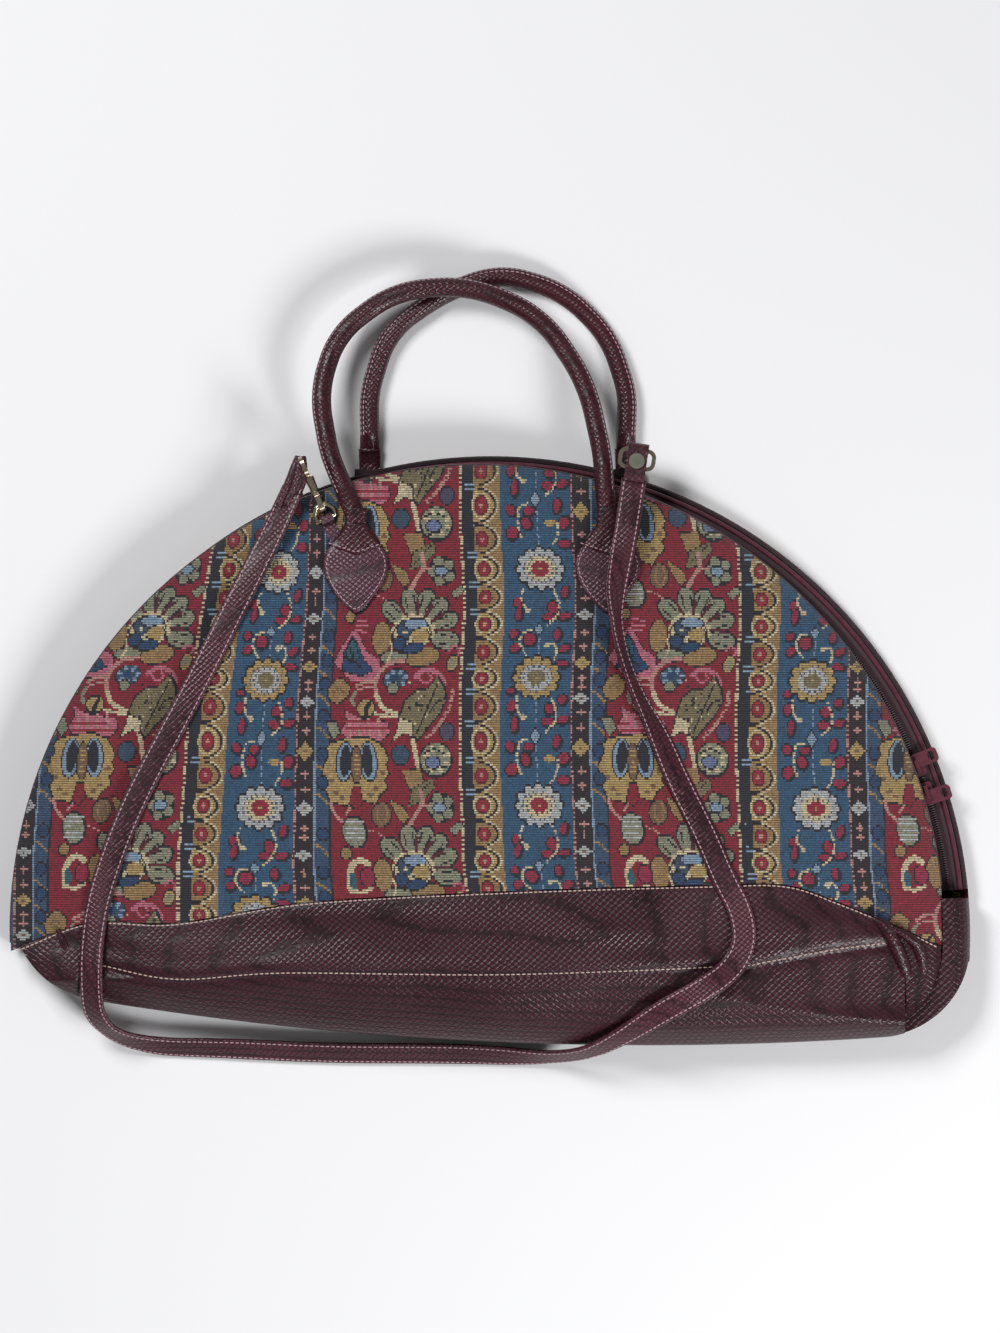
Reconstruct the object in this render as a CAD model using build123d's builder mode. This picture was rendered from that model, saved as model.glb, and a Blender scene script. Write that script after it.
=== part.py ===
from build123d import *
import math
import os

# A half-moon carpet bag, empty and zipped shut, lying on its back panel.
# All sizes are in millimetres. +Z is up off the floor, +X towards the bag's right end, +Y towards its
# handles, and the origin is the centre of the bag's arc, on the floor.

# Outline, seen from above
back_radius = 306.0  # edge of the back panel
front_radius = 297.0  # edge of the front panel, which has slumped to the left
front_centre = (-9.0, 3.0)
base_arc_radius = 2196.5  # the long, slightly bowed lower edge
base_arc_centre = (100.0, 2127.3)
corner_radius = 60.0

# Body
cloth = 2.2  # tapestry or leather with its backing
crown_height = 58.0  # top of the front panel above the floor
dome_radius = 1640.0
rim_roll = 9.0  # width of the front panel's rolled-over edge
rim_low = 18.0  # height the rolled edge points down to
rim_outset = 4.0  # how far beyond the outline the roll's curve ends
split_height = 24.0  # underside of the front half
base_fold = 47.0  # width of the part of the base that shows below the lower seam
base_top = 55.0  # height where the base folds over
base_low = 15.0
base_outset = 5.0  # how far beyond the outline the fold's curve ends
base_reach = 350.0  # how far the fold's upper line is carried back over the panel
base_reach_rise = 35.0
base_slope = -0.15  # slope of the base where the fold begins
base_left = -262.0
base_right = 264.0
lip_radius = 9.6  # upturned edge of the back panel
lip_turn = 110.0  # degrees it turns up through
gusset_height = 30.0
gusset_top_y = 24.0
gusset_roll = 6.0
gusset_reach = 50.0
seam_gap = 0.3
left_gusset_top_y = -10.5
wall_reach = 100.0

# Seams across the bag
top_seam = [(-345, -26), (-297, -6), (-255, 9), (-200, 9), (-118, 22), (6, 29), (136, 33), (187, 33),
            (221, 22), (255, 8), (283, -5), (345, -38)]
lower_seam = [(-345, -10), (-262, -18), (-202, -29), (-131, -25), (6, -26), (149, -21), (176, -18),
              (221, -10), (264, -5), (345, 4)]

# Zip, which runs round the arc
zip_start = 5.6  # degrees, at the right end
zip_end = 181.4
lip_end = 181.0
tape_bottom = 12.0
tape = 1.2
coil_inner = 289.4
coil_outer = 296.6
coil_width = 3.0
coil_height = 2.0
tuck_radius = 282.0  # fold of the front tape inside the bag
back_tape_radius = 299.5
seam_reach = 10.0
piping = 1.6
back_piping_radius = 301.3
back_piping_z = 13.5

# Sliders and pulls
slider_track = 293.0
slider_length = 13.0
slider_width = 9.2
slider_plate = 1.3
slider_clearance = 0.3
slider_corner = 2.5
flange_width = 0.7
flange_length = 8.0
flange_lift = 0.4
web_width = 0.8
web_length = 4.0
lower_slider_angle = 18.2
upper_slider_angle = 21.6
post_radius = 0.8
post_offset = 3.6
bail_height = 4.9
bail_width = 2.2
bail_leg = 1.6
bail_thickness = 1.2
pull_length = 17.5
pull_width = 9.4
pull_thickness = 1.3
pull_corner = 2.5
pull_clearance = 0.12
pull_lift = 0.8  # above the slider's top plate
pull_tail = 2.6  # inwards of the post
pull_hole_length = 6.0
pull_hole_width = 4.4
pull_hole_inset = 4.2

# Rolled handles
tube_radius = 6.2
core_radius = 4.2
core_clearance = 0.05
hinge_half_width = 6.5
hinge_half_height = 2.5
hinge_gap = 0.3
front_hinge_y = 266.0
front_hinge_z = 40.3
front_droop = 8.2  # degrees the front loop drops to lie on the back one
front_loop = [(-93.5, 285), (-103, 307), (-110, 347), (-98, 384), (-62, 411.5), (-14, 415.5), (32, 396),
              (61, 353), (71, 307), (72.5, 285)]
front_hinges = [-86.0, 74.5]
back_hinge_y = 302.5
back_hinge_z = 3.2
back_loop = [(-77.5, 321), (-78, 346), (-66, 386), (-30, 411), (6, 423.5), (46, 412), (75.5, 383),
             (87.5, 346), (86.3, 321)]
back_hinges = [-77.5, 86.3]

# Handle tabs
tab_half_width = 22.0
tab_round_y = 227.0
tab_straight_y = 238.0
tab_middle_y = 240.0
tab_thickness = 3.4
tongue_gap = 3.6  # from the hinge line to the end of the tab
tongue_length = 2.0
back_tab_thickness = 2.4
back_tab_end = 270.0
back_tongue_start = 264.0
back_tongue_thickness = 5.0
pocket_y = 236.0  # middle of the raised part of the back panel over a tab
pocket_length = 66.0
pocket_margin = 2.0
pocket_roof = 2.2
channel_y = 288.0  # middle of the raised part over a tongue
channel_length = 54.0
channel_roof_y = 283.0
channel_roof_length = 30.0
channel_margin = 1.0
laid_gap = 0.3  # between a soft piece and what it lies on

# Rings, hooks and strap
ring_wire = 1.4
ring_bar = 11.0
ring_reach = 9.6
ring_flare = 0.5
ring_nose = 3.2
ring_bend = 2.0
loop_thickness = 1.5
running_gap = 0.1
keeper_width = 8.0
keeper_length = 18.0
keeper_rest = 0.2
slot_depth = 4.0  # room under a tab for its keeper
eye_wire = 1.3
eye_width = 24.0
eye_depth = 14.0
eye_corner = 4.0
stem_radius = 1.2
head_radius = 2.2
collar_radius = 3.2
head_start = 12.2
head_length = 1.6
head_room = 0.2
barrel_start = 7.4
barrel_taper = 0.6
jaw_start = 17.0
jaw_corner = 3.6
hook_length = 31.0
hook_reach = 26.9  # eye centre to the ring's wire
hook_width = 3.4
hook_height = 10.0
hook_wall = 2.2
gate_start = jaw_start + hook_wall + 0.2
gate_end = hook_length - 5.0
gate_thickness = 2.0
gate_room = 0.2
left_eye = (-119.0, 299.0, 39.3)
left_heading = (12.5, -28.5)
right_eye = (93.0, 304.0, 38.9)
right_heading = (-4.7, -30.6)
strap_width = 16.0
strap_thickness = 2.5
strap_loop_width = 13.0
left_end_heading = (-0.5, -0.866)
left_end_length = 22.0
left_loop_length = 8.0  # narrower part of the end, round the bar
right_end_heading = (-0.152, -0.988)
right_end_length = 22.0
right_end_rise = 0.18
right_end_sink = 1.2  # how far the folded layers sit down into their loop
cap_along = 9.0
cap_radius = 5.0
cap_height = 1.6
strap_tube = 3.5
strap_inside = 2.0  # how far the plain tube runs into each folded end before it is cut back
strap_top_gap = 4.5


def dome_z(x, y):
    """Height of the front panel at a point seen from above."""
    away = math.hypot(x - front_centre[0], y - front_centre[1])
    return crown_height - dome_radius + math.sqrt(dome_radius**2 - away**2)


def upright_plane(centre, angle=0.0):
    """A plane that stands on the floor and faces along the arc, with its x axis pointing outwards."""
    a = math.radians(angle)
    return Plane(
        origin=(centre[0], centre[1], 0),
        x_dir=(math.cos(a), math.sin(a), 0),
        z_dir=(math.sin(a), -math.cos(a), 0),
    )


def arc_solid(points, start, end):
    """A closed outline of (radius, height) points, carried round the arc between two angles."""
    with BuildPart() as body:
        with BuildSketch(upright_plane((0, 0), start)):
            with BuildLine():
                Polyline(*points, close=True)
            make_face()
        revolve(axis=Axis.Z, revolution_arc=end - start)
    return body.part


def box_points(inner, outer, low, high):
    """The corners of an upright rectangle."""
    return [(inner, low), (outer, low), (outer, high), (inner, high)]


def outline(inset, centre, radius):
    """The bag's half-moon outline on the floor."""
    with BuildSketch() as shape:
        with Locations(centre):
            Circle(radius - inset)
        with Locations(base_arc_centre):
            Circle(base_arc_radius - inset, mode=Mode.INTERSECT)
        corners = [v for v in shape.vertices() if v.Y < -15]
        fillet(corners, corner_radius - inset)
    return shape.sketch


def side_of(points, above):
    """The half of the floor on one side of a seam."""
    far = 500 if above else -500
    with BuildSketch() as region:
        with BuildLine():
            seam = Spline(*points)
            Polyline(seam @ 1, (points[-1][0], far), (points[0][0], far), seam @ 0)
        make_face()
    return region.sketch


def base_region():
    """Where the leather base reaches, seen from above."""
    with BuildSketch() as region:
        add(side_of(lower_seam, False))
        with Locations(((base_left + base_right) / 2, -200)):
            Rectangle(base_right - base_left, 600, mode=Mode.INTERSECT)
    return region.sketch


def raised(sketch, low, high):
    """A floor sketch as a solid between two heights."""
    with BuildPart() as body:
        with BuildSketch(Plane.XY.offset(low)):
            add(sketch)
        extrude(amount=high - low)
    return body.part


def front_half(inset, centre, radius):
    """The front of the body as one solid, down to a little below the zip's tuck for the hollow."""
    with BuildPart() as body:
        add(raised(outline(inset, centre, radius), split_height - 3 * inset, 2 * crown_height))
        edge = front_radius + rim_outset
        shoulder = front_radius - rim_roll
        shoulder_z = dome_z(front_centre[0] + shoulder, front_centre[1])
        with BuildSketch(upright_plane(front_centre)) as section:
            with BuildLine():
                cap = RadiusArc((0, crown_height - inset), (shoulder, shoulder_z - inset), dome_radius)
                turn = TangentArc(cap @ 1, (edge - inset, rim_low), tangent=cap % 1)
                Polyline(turn @ 1, (edge - inset, 0), (0, 0), cap @ 0)
            make_face()
        revolve(section.sketch, Axis((*front_centre, 0), (0, 0, 1)), mode=Mode.INTERSECT)
        fold = base_arc_radius - base_fold
        low_edge = base_arc_radius + base_outset
        with BuildSketch(Plane(origin=(*base_arc_centre, 0), x_dir=(0, -1, 0), z_dir=(-1, 0, 0))) as roll:
            with BuildLine():
                level = Line((fold - base_reach, base_top + base_reach_rise), (fold, base_top - inset))
                bend = TangentArc(level @ 1, (low_edge - inset, base_low), tangent=(1, base_slope))
                Polyline(bend @ 1, (low_edge - inset, 0), (fold - base_reach, 0), level @ 0)
            make_face()
        revolve(roll.sketch, Axis((*base_arc_centre, 0), (0, 0, 1)), mode=Mode.INTERSECT)
    return body.part


def front_skin(centre, radius):
    """The front of the body as a sheet of cloth."""
    with BuildPart() as body:
        add(front_half(0, centre, radius))
        add(front_half(cloth, centre, radius), mode=Mode.SUBTRACT)
    return body.part


above_top = side_of(top_seam, True)
below_top = side_of(top_seam, False)
base_area = base_region()
back_outline = outline(0, (0, 0), back_radius)

# Front piping, seated in the rolled edge of the front panel
with BuildPart() as front_piping:
    with BuildSketch(upright_plane(front_centre, zip_start)):
        with Locations((front_radius - 0.4, split_height + 2.0)):
            Circle(piping)
    revolve(axis=Axis((*front_centre, 0), (0, 0, 1)), revolution_arc=zip_end - zip_start)

with BuildPart() as front_panel:
    add(front_skin(front_centre, front_radius))
    add(raised(above_top, 0, 2 * crown_height), mode=Mode.INTERSECT)
    add(front_piping.part, mode=Mode.SUBTRACT)

with BuildPart() as front_band:
    add(front_skin(front_centre, front_radius))
    add(raised(below_top, 0, 2 * crown_height), mode=Mode.INTERSECT)
    add(raised(base_area, 0, 2 * crown_height), mode=Mode.SUBTRACT)
    add(front_piping.part, mode=Mode.SUBTRACT)

# The leather roll that closes the right end, between the edges of the two panels
with BuildSketch() as crescent:
    add(back_outline)
    add(outline(-seam_gap, front_centre, front_radius), mode=Mode.SUBTRACT)
    with Locations((base_right + seam_gap + gusset_reach, gusset_top_y - 2 * gusset_reach)):
        Rectangle(2 * gusset_reach, 4 * gusset_reach, mode=Mode.INTERSECT)
with BuildPart() as right_end_gusset:
    add(raised(crescent.sketch, 0, gusset_height))
    with BuildSketch(upright_plane((0, 0), -60)) as gusset_section:
        with BuildLine():
            rise = Line((200, 0), (back_radius, 0))
            side = Line(rise @ 1, (back_radius, gusset_height - 2 * gusset_roll))
            roll_end = (back_radius - 2 * gusset_roll, gusset_height)
            shoulder_arc = TangentArc(side @ 1, roll_end, tangent=(0, 1))
            Polyline(shoulder_arc @ 1, (200, gusset_height), rise @ 0)
        make_face()
    revolve(gusset_section.sketch, Axis.Z, revolution_arc=90, mode=Mode.INTERSECT)

# Back of the body
flat_radius = back_radius - lip_radius
lip_inner = lip_radius - cloth
with BuildSketch() as back_flat:
    add(back_outline)
    Circle(flat_radius, mode=Mode.INTERSECT)
    add(above_top, mode=Mode.INTERSECT)
with BuildPart() as back_panel:
    add(raised(back_flat.sketch, 0, cloth))
    with BuildSketch(upright_plane((0, 0), zip_start)):
        with BuildLine():
            middle = (flat_radius, lip_radius)
            outer_lip = CenterArc(middle, lip_radius, -90, lip_turn)
            inner_lip = CenterArc(middle, lip_inner, -90, lip_turn)
            Line(outer_lip @ 0, inner_lip @ 0)
            Line(outer_lip @ 1, inner_lip @ 1)
        make_face()
    revolve(axis=Axis.Z, revolution_arc=lip_end - zip_start)
    pocket_edge = pocket_margin + pocket_roof
    channel_width = 2 * (hinge_half_width + channel_margin)
    for x in back_hinges:
        with BuildSketch():
            with Locations((x, pocket_y)):
                Rectangle(2 * (tab_half_width + pocket_edge), pocket_length + 2 * pocket_edge)
        extrude(amount=back_tab_thickness + 2 * laid_gap + pocket_roof)
        with BuildSketch():
            with Locations((x, channel_roof_y)):
                Rectangle(channel_width + 2 * pocket_roof, channel_roof_length)
        extrude(amount=back_tongue_thickness + 2 * laid_gap + pocket_roof)
    for x in back_hinges:
        with BuildSketch(Plane.XY.offset(-1)):
            with Locations((x, pocket_y)):
                Rectangle(2 * (tab_half_width + pocket_margin), pocket_length + 2 * pocket_margin)
        extrude(amount=back_tab_thickness + 2 * laid_gap + 1, mode=Mode.SUBTRACT)
        with BuildSketch(Plane.XY.offset(-1)):
            with Locations((x, channel_y)):
                Rectangle(channel_width, channel_length)
        extrude(amount=back_tongue_thickness + 2 * laid_gap + 1, mode=Mode.SUBTRACT)
    add(right_end_gusset.part, mode=Mode.SUBTRACT)

with BuildPart() as back_band:
    with BuildSketch():
        add(back_outline)
        add(below_top, mode=Mode.INTERSECT)
        add(base_area, mode=Mode.SUBTRACT)
        add(crescent.sketch, mode=Mode.SUBTRACT)
    extrude(amount=cloth)

with BuildSketch() as wall_line:
    add(back_outline)
    add(outline(cloth, (0, 0), back_radius), mode=Mode.SUBTRACT)

with BuildPart() as base_panel:
    add(front_skin((0, 0), back_radius))
    add(raised(base_area, 0, 2 * crown_height), mode=Mode.INTERSECT)
    with BuildSketch():
        add(back_outline)
        add(base_area, mode=Mode.INTERSECT)
    extrude(amount=cloth)
    with BuildSketch():
        add(wall_line.sketch)
        with Locations(((base_left + base_right) / 2, -wall_reach)):
            Rectangle(base_right - base_left, 2 * wall_reach - 60, mode=Mode.INTERSECT)
    extrude(amount=split_height)

with BuildPart() as left_end_gusset:
    with BuildSketch(Plane.XY.offset(cloth)):
        add(wall_line.sketch)
        with Locations((base_left - wall_reach, left_gusset_top_y - wall_reach)):
            Rectangle(2 * wall_reach, 2 * wall_reach, mode=Mode.INTERSECT)
    extrude(amount=split_height - cloth)

# Zip tapes
tape_top = tape_bottom + tape
with BuildPart() as zip_tape_front:
    fold = tuck_radius + tape
    tuck_top = split_height - tape
    flange = box_points(tuck_radius, back_radius + seam_reach, tuck_top, split_height)
    add(arc_solid(flange, zip_start, zip_end))
    add(raised(outline(0.2, front_centre, front_radius), 0, 2 * split_height), mode=Mode.INTERSECT)
    tape_edge = coil_inner + coil_width
    turned = [(tuck_radius, tape_bottom), (tape_edge, tape_bottom), (tape_edge, tape_top), (fold, tape_top),
              (fold, tuck_top), (tuck_radius, tuck_top)]
    add(arc_solid(turned, zip_start, zip_end))
zip_tape_back = arc_solid(
    box_points(coil_outer - coil_width, back_tape_radius, tape_bottom, tape_top), zip_start, zip_end
)
zip_coil_front = arc_solid(
    box_points(coil_inner, coil_inner + coil_width, tape_top, tape_top + coil_height), zip_start, zip_end
)
zip_coil_back = arc_solid(
    box_points(coil_outer - coil_width, coil_outer, tape_top, tape_top + coil_height), zip_start, zip_end
)
with BuildPart() as back_piping:
    with BuildSketch(upright_plane((0, 0), zip_start)):
        with Locations((back_piping_radius, back_piping_z)):
            Circle(piping)
    revolve(axis=Axis.Z, revolution_arc=zip_end - zip_start)

body_parts = {
    "front_panel": front_panel.part, "front_band": front_band.part, "base_panel": base_panel.part,
    "back_panel": back_panel.part, "back_band": back_band.part,
    "right_end_gusset": right_end_gusset.part, "left_end_gusset": left_end_gusset.part,
    "front_piping": front_piping.part, "back_piping": back_piping.part,
    "zip_tape_front": zip_tape_front.part, "zip_tape_back": zip_tape_back,
    "zip_coil_front": zip_coil_front, "zip_coil_back": zip_coil_back,
}


def slider(angle, side):
    """A zip slider with its lengthwise bail; side is the way its pull swings, up (1) or down (-1)."""
    bottom = tape_bottom - slider_clearance - slider_plate
    top = tape_top + coil_height + slider_clearance
    bail_top = top + slider_plate + bail_height
    stand = (Align.CENTER, Align.CENTER, Align.MIN)
    with BuildPart() as body:
        for height in (bottom, top):
            with BuildSketch(Plane.XY.offset(height)):
                with Locations((slider_track, 0)):
                    RectangleRounded(slider_width, slider_length, slider_corner)
            extrude(amount=slider_plate)
        with Locations((slider_track, 0, bottom)):
            Box(web_width, web_length, top - bottom + 1, align=stand)
        for edge in (-1, 1):
            middle = slider_track + edge * (slider_width - flange_width) / 2
            with Locations((middle, 0, tape_top + flange_lift)):
                Box(flange_width, flange_length, top - tape_top, align=stand)
        with Locations((slider_track, side * post_offset, top)):
            Cylinder(post_radius, bail_top - top, align=stand)
        with Locations((slider_track, 0, bail_top - bail_thickness)):
            Box(bail_width, 2 * post_offset + bail_leg, bail_thickness, align=stand)
        with Locations((slider_track, -side * post_offset, top)):
            Box(bail_width, bail_leg, bail_top - top, align=stand)
    return body.part.rotate(Axis.Z, angle)


def pull(angle, side):
    """A flat pull tab round the bail's post, pointing away from the bag."""
    level = tape_top + coil_height + slider_clearance + slider_plate + pull_lift
    inner = slider_track - pull_tail
    with BuildPart() as tab:
        with BuildSketch(Plane.XY.offset(level)):
            with Locations((inner + pull_length / 2, side * post_offset)):
                RectangleRounded(pull_length, pull_width, pull_corner)
            with Locations((slider_track, side * post_offset)):
                Circle(post_radius + pull_clearance, mode=Mode.SUBTRACT)
            with Locations((inner + pull_length - pull_hole_inset, side * post_offset)):
                SlotOverall(pull_hole_length, pull_hole_width, rotation=90, mode=Mode.SUBTRACT)
        extrude(amount=pull_thickness)
    return tab.part.rotate(Axis.Z, angle)


def handle_plane(y, z, droop):
    """The plane a handle's loop lies in, through its hinge line."""
    a = math.radians(droop)
    return Plane(origin=(0, y, z), x_dir=(1, 0, 0), z_dir=(0, math.sin(a), math.cos(a)))


def loop_path(points, hinge_y, droop):
    """The handle's centreline in its own plane, from one funnel to the other."""
    lean = math.cos(math.radians(droop))
    return [(x, (y - hinge_y) / lean) for x, y in points]


def bend_radii(points):
    """The widest bend that fits at each inner point of a route."""
    radii = []
    for before, point, after in zip(points, points[1:], points[2:]):
        run_in = Vector(*point) - Vector(*before)
        run_out = Vector(*after) - Vector(*point)
        half_turn = math.radians(run_in.get_angle(run_out)) / 2
        radii.append(0.45 * min(run_in.length, run_out.length) / math.tan(half_turn))
    return radii


def rolled_tube(plane, path, radius):
    """A plain round tube along a handle's centreline."""
    with BuildPart() as tube:
        with BuildLine(plane) as line:
            FilletPolyline(*path, radius=bend_radii(path))
        with BuildSketch(Plane(origin=line.line @ 0, x_dir=plane.z_dir, z_dir=line.line % 0)):
            Circle(radius)
        sweep()
    return tube.part


def funnel(plane, path, end, hinge, drop):
    """The flattening end of a handle, from the round tube down to the hinge line."""
    tube_end, inner = (path[0], path[1]) if end == 0 else (path[-1], path[-2])
    away = plane.from_local_coords((*inner, 0)) - plane.from_local_coords((*tube_end, 0))
    with BuildPart() as taper:
        hinge_point = plane.from_local_coords((hinge, hinge_gap, -drop))
        with BuildSketch(Plane(origin=hinge_point, x_dir=plane.x_dir, z_dir=plane.y_dir)):
            RectangleRounded(2 * hinge_half_width, 2 * hinge_half_height, hinge_half_height - 0.5)
        tube_point = plane.from_local_coords((*tube_end, 0))
        with BuildSketch(Plane(origin=tube_point, x_dir=plane.x_dir, z_dir=away)):
            Circle(tube_radius)
        loft()
    return taper.part


def handle_cover(plane, path, hinges, drop):
    """A rolled leather handle, flattening into a hinge at each end, with a hollow for its core."""
    with BuildPart() as cover:
        add(rolled_tube(plane, path, tube_radius))
        add(funnel(plane, path, 0, hinges[0], drop))
        add(funnel(plane, path, 1, hinges[1], drop))
        add(rolled_tube(plane, path, core_radius + core_clearance), mode=Mode.SUBTRACT)
    return cover.part


pieces = {}


def keep(part, name):
    """Name a part and keep it for the export at the end."""
    part.label = name
    pieces[name] = part


front_plane = handle_plane(front_hinge_y, front_hinge_z, front_droop)
front_path = loop_path(front_loop, front_hinge_y, front_droop)
back_drop = tube_radius + 0.2 - back_hinge_z
back_plane = handle_plane(back_hinge_y, back_hinge_z + back_drop, 0)
back_path = loop_path(back_loop, back_hinge_y, 0)


def panel_plane(x, y):
    """The plane that touches the front panel at a point, with its y axis running up the bag."""
    bottom_of_dome = Vector(front_centre[0], front_centre[1], crown_height - dome_radius)
    point = Vector(x, y, dome_z(x, y))
    normal = (point - bottom_of_dome).normalized()
    return Plane(origin=point, x_dir=Vector(normal.Z, 0, -normal.X).normalized(), z_dir=normal)


def tab_outline(x, y, tongue_end):
    """The shield shape of a handle tab, about its middle."""
    with BuildSketch() as shield:
        with BuildLine():
            low = tab_round_y - y
            side = tab_straight_y - y
            left = Line((-tab_half_width, side), (-tab_half_width, low))
            round_end = TangentArc(left @ 1, (tab_half_width, low), tangent=(0, -1))
            end = tongue_end - y
            Polyline(round_end @ 1, (tab_half_width, side), (hinge_half_width, end - tongue_length),
                     (hinge_half_width, end), (-hinge_half_width, end),
                     (-hinge_half_width, end - tongue_length), left @ 0)
        make_face()
    return shield.sketch


# Rings, each swinging in a keeper on the front panel
rings = {}
for side_name, hinge, eye, heading in (
    ("left", front_hinges[0], left_eye, left_heading),
    ("right", front_hinges[1], right_eye, right_heading),
):
    length = math.hypot(*heading)
    ahead = Vector(heading[0] / length, heading[1] / length, 0)
    wire_point = Vector(*eye) + ahead * hook_reach
    bar_point = wire_point + ahead * ring_reach
    on_panel = panel_plane(bar_point.X, bar_point.Y)
    lifted = ring_wire + running_gap + loop_thickness + keeper_rest
    bar_point = on_panel.origin + on_panel.z_dir * lifted
    reach = wire_point - bar_point
    bar_line = Vector(-ahead.Y, ahead.X, 0)
    # a plane whose x axis runs along the ring's bar and whose y axis points at the hook
    ring_plane = Plane(origin=bar_point, x_dir=bar_line, z_dir=bar_line.cross(reach).normalized())
    if ring_plane.z_dir.Z < 0:
        ring_plane = Plane(origin=bar_point, x_dir=-bar_line, z_dir=-ring_plane.z_dir)
    away = (on_panel.z_dir.cross(ring_plane.x_dir)).normalized()
    keeper_plane = Plane(origin=bar_point, x_dir=ring_plane.x_dir, z_dir=ring_plane.x_dir.cross(away))
    rings[side_name] = (ring_plane, keeper_plane, reach.length)

for name in ("left", "right"):
    ring_plane, keeper_plane, depth = rings[name]
    with BuildPart() as ring:
        with BuildLine(ring_plane) as ring_line:
            half = ring_bar / 2 + ring_flare
            FilletPolyline((0, 0), (half, 0), (half + ring_flare, depth / 2), (ring_nose, depth),
                           (0, depth), radius=ring_bend)
        with BuildSketch(Plane(origin=ring_plane.origin, x_dir=ring_plane.z_dir, z_dir=ring_plane.x_dir)):
            Circle(ring_wire)
        sweep()
        mirror(about=Plane(origin=ring_plane.origin, z_dir=ring_plane.x_dir))
    with BuildPart() as keeper:
        along_bar = Plane(origin=keeper_plane.origin, x_dir=keeper_plane.y_dir, z_dir=keeper_plane.x_dir)
        with BuildSketch(along_bar):
            Circle(ring_wire + running_gap + loop_thickness)
            with Locations((-keeper_length / 2, 0)):
                Rectangle(keeper_length, 2 * (ring_wire + running_gap + loop_thickness))
            with Locations((-keeper_length / 2 - ring_wire - loop_thickness, loop_thickness)):
                Rectangle(keeper_length, 2 * (ring_wire + running_gap + loop_thickness), mode=Mode.SUBTRACT)
            Circle(ring_wire + running_gap, mode=Mode.SUBTRACT)
        extrude(amount=keeper_width / 2, both=True)
    keep(ring.part, name + "_ring")
    keep(keeper.part, name + "_ring_keeper")

# Front tabs, laid on the slumped panel, each over the strip that holds its ring
for name, hinge_x in (("left", front_hinges[0]), ("right", front_hinges[1])):
    tab_plane = panel_plane(hinge_x, tab_middle_y)
    with BuildPart() as tab:
        with BuildSketch(tab_plane.offset(laid_gap)):
            add(tab_outline(hinge_x, tab_middle_y, front_hinge_y - tongue_gap))
        extrude(amount=tab_thickness)
        with BuildSketch(rings[name][1].offset(-slot_depth)):
            with Locations((0, -keeper_length / 2)):
                Rectangle(keeper_width + 1, keeper_length + 10)
        extrude(amount=slot_depth - ring_wire - running_gap + keeper_rest, mode=Mode.SUBTRACT)
    keep(tab.part, "front_tab_" + name)

for name, hinge_x in (("left", back_hinges[0]), ("right", back_hinges[1])):
    with BuildPart() as tab:
        with BuildSketch(Plane.XY.offset(laid_gap)):
            with Locations((hinge_x, tab_middle_y)):
                add(tab_outline(hinge_x, tab_middle_y, back_tab_end))
        extrude(amount=back_tab_thickness)
        tongue_end = back_hinge_y - tongue_gap
        with BuildSketch(Plane.XY.offset(laid_gap)):
            with Locations((hinge_x, (back_tongue_start + tongue_end) / 2)):
                Rectangle(2 * hinge_half_width, tongue_end - back_tongue_start)
        extrude(amount=back_tongue_thickness)
    keep(tab.part, "back_tab_" + name)


def hook_plane(eye, heading):
    """A plane through a hook's eye, with its x axis pointing at the ring and its z axis up."""
    return Plane(origin=eye, x_dir=(*heading, 0), z_dir=(0, 0, 1))


def placed(part, plane):
    """A part drawn about the origin, moved into a plane."""
    with BuildPart() as moved:
        with Locations(plane.location):
            add(part)
    return moved.part


def hook_eye(upright):
    """The wire eye and headed stem the hook turns on, along x from the eye's centre."""
    with BuildPart() as eye:
        with BuildSketch(Plane.XZ if upright else Plane.XY):
            RectangleRounded(eye_depth, eye_width, eye_corner + eye_wire)
            RectangleRounded(eye_depth - 4 * eye_wire, eye_width - 4 * eye_wire, eye_corner - eye_wire,
                             mode=Mode.SUBTRACT)
        extrude(amount=eye_wire, both=True)
        with BuildSketch(Plane.YZ.offset(eye_depth / 2 - eye_wire)):
            Circle(stem_radius)
        extrude(amount=head_start - eye_depth / 2 + eye_wire)
        with BuildSketch(Plane.YZ.offset(head_start)):
            Circle(head_radius)
        extrude(amount=head_length)
    return eye.part


def hook_body():
    """The swivelling part of a snap hook: a round barrel and a jaw that is open on its upper side."""
    with BuildPart() as body:
        with BuildSketch(Plane.XZ) as half:
            with BuildLine():
                bore_radius = stem_radius + running_gap
                room_radius = head_radius + head_room
                room_start = head_start - head_room
                room_end = head_start + head_length + head_room
                Polyline((barrel_start, bore_radius), (barrel_start, collar_radius),
                         (jaw_start + 1, collar_radius - barrel_taper), (jaw_start + 1, 0),
                         (room_end, 0), (room_end, room_radius), (room_start, room_radius),
                         (room_start, bore_radius), close=True)
            make_face()
        revolve(axis=Axis.X)
        with BuildSketch(Plane.XZ):
            with Locations(((jaw_start + hook_length) / 2, 0)):
                jaw_length = hook_length - jaw_start
                RectangleRounded(jaw_length, hook_height, jaw_corner)
                RectangleRounded(jaw_length - 2 * hook_wall, hook_height - 2 * hook_wall,
                                 jaw_corner - hook_wall, mode=Mode.SUBTRACT)
            with Locations(((gate_start + gate_end) / 2, hook_height / 2)):
                Rectangle(gate_end - gate_start + 2 * gate_room, hook_height - 2, mode=Mode.SUBTRACT)
        extrude(amount=hook_width / 2, both=True)
    return body.part


def hook_gate():
    """The sprung gate across the top of the jaw."""
    with BuildPart() as gate:
        with BuildSketch(Plane.XZ):
            with Locations(((gate_start + gate_end) / 2, (hook_height - hook_wall) / 2)):
                SlotOverall(gate_end - gate_start, gate_thickness)
            with Locations((gate_end - 1, (hook_height - hook_wall) / 2)):
                Rectangle(2, gate_thickness)
        extrude(amount=hook_width / 2 - gate_room, both=True)
    return gate.part


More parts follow.
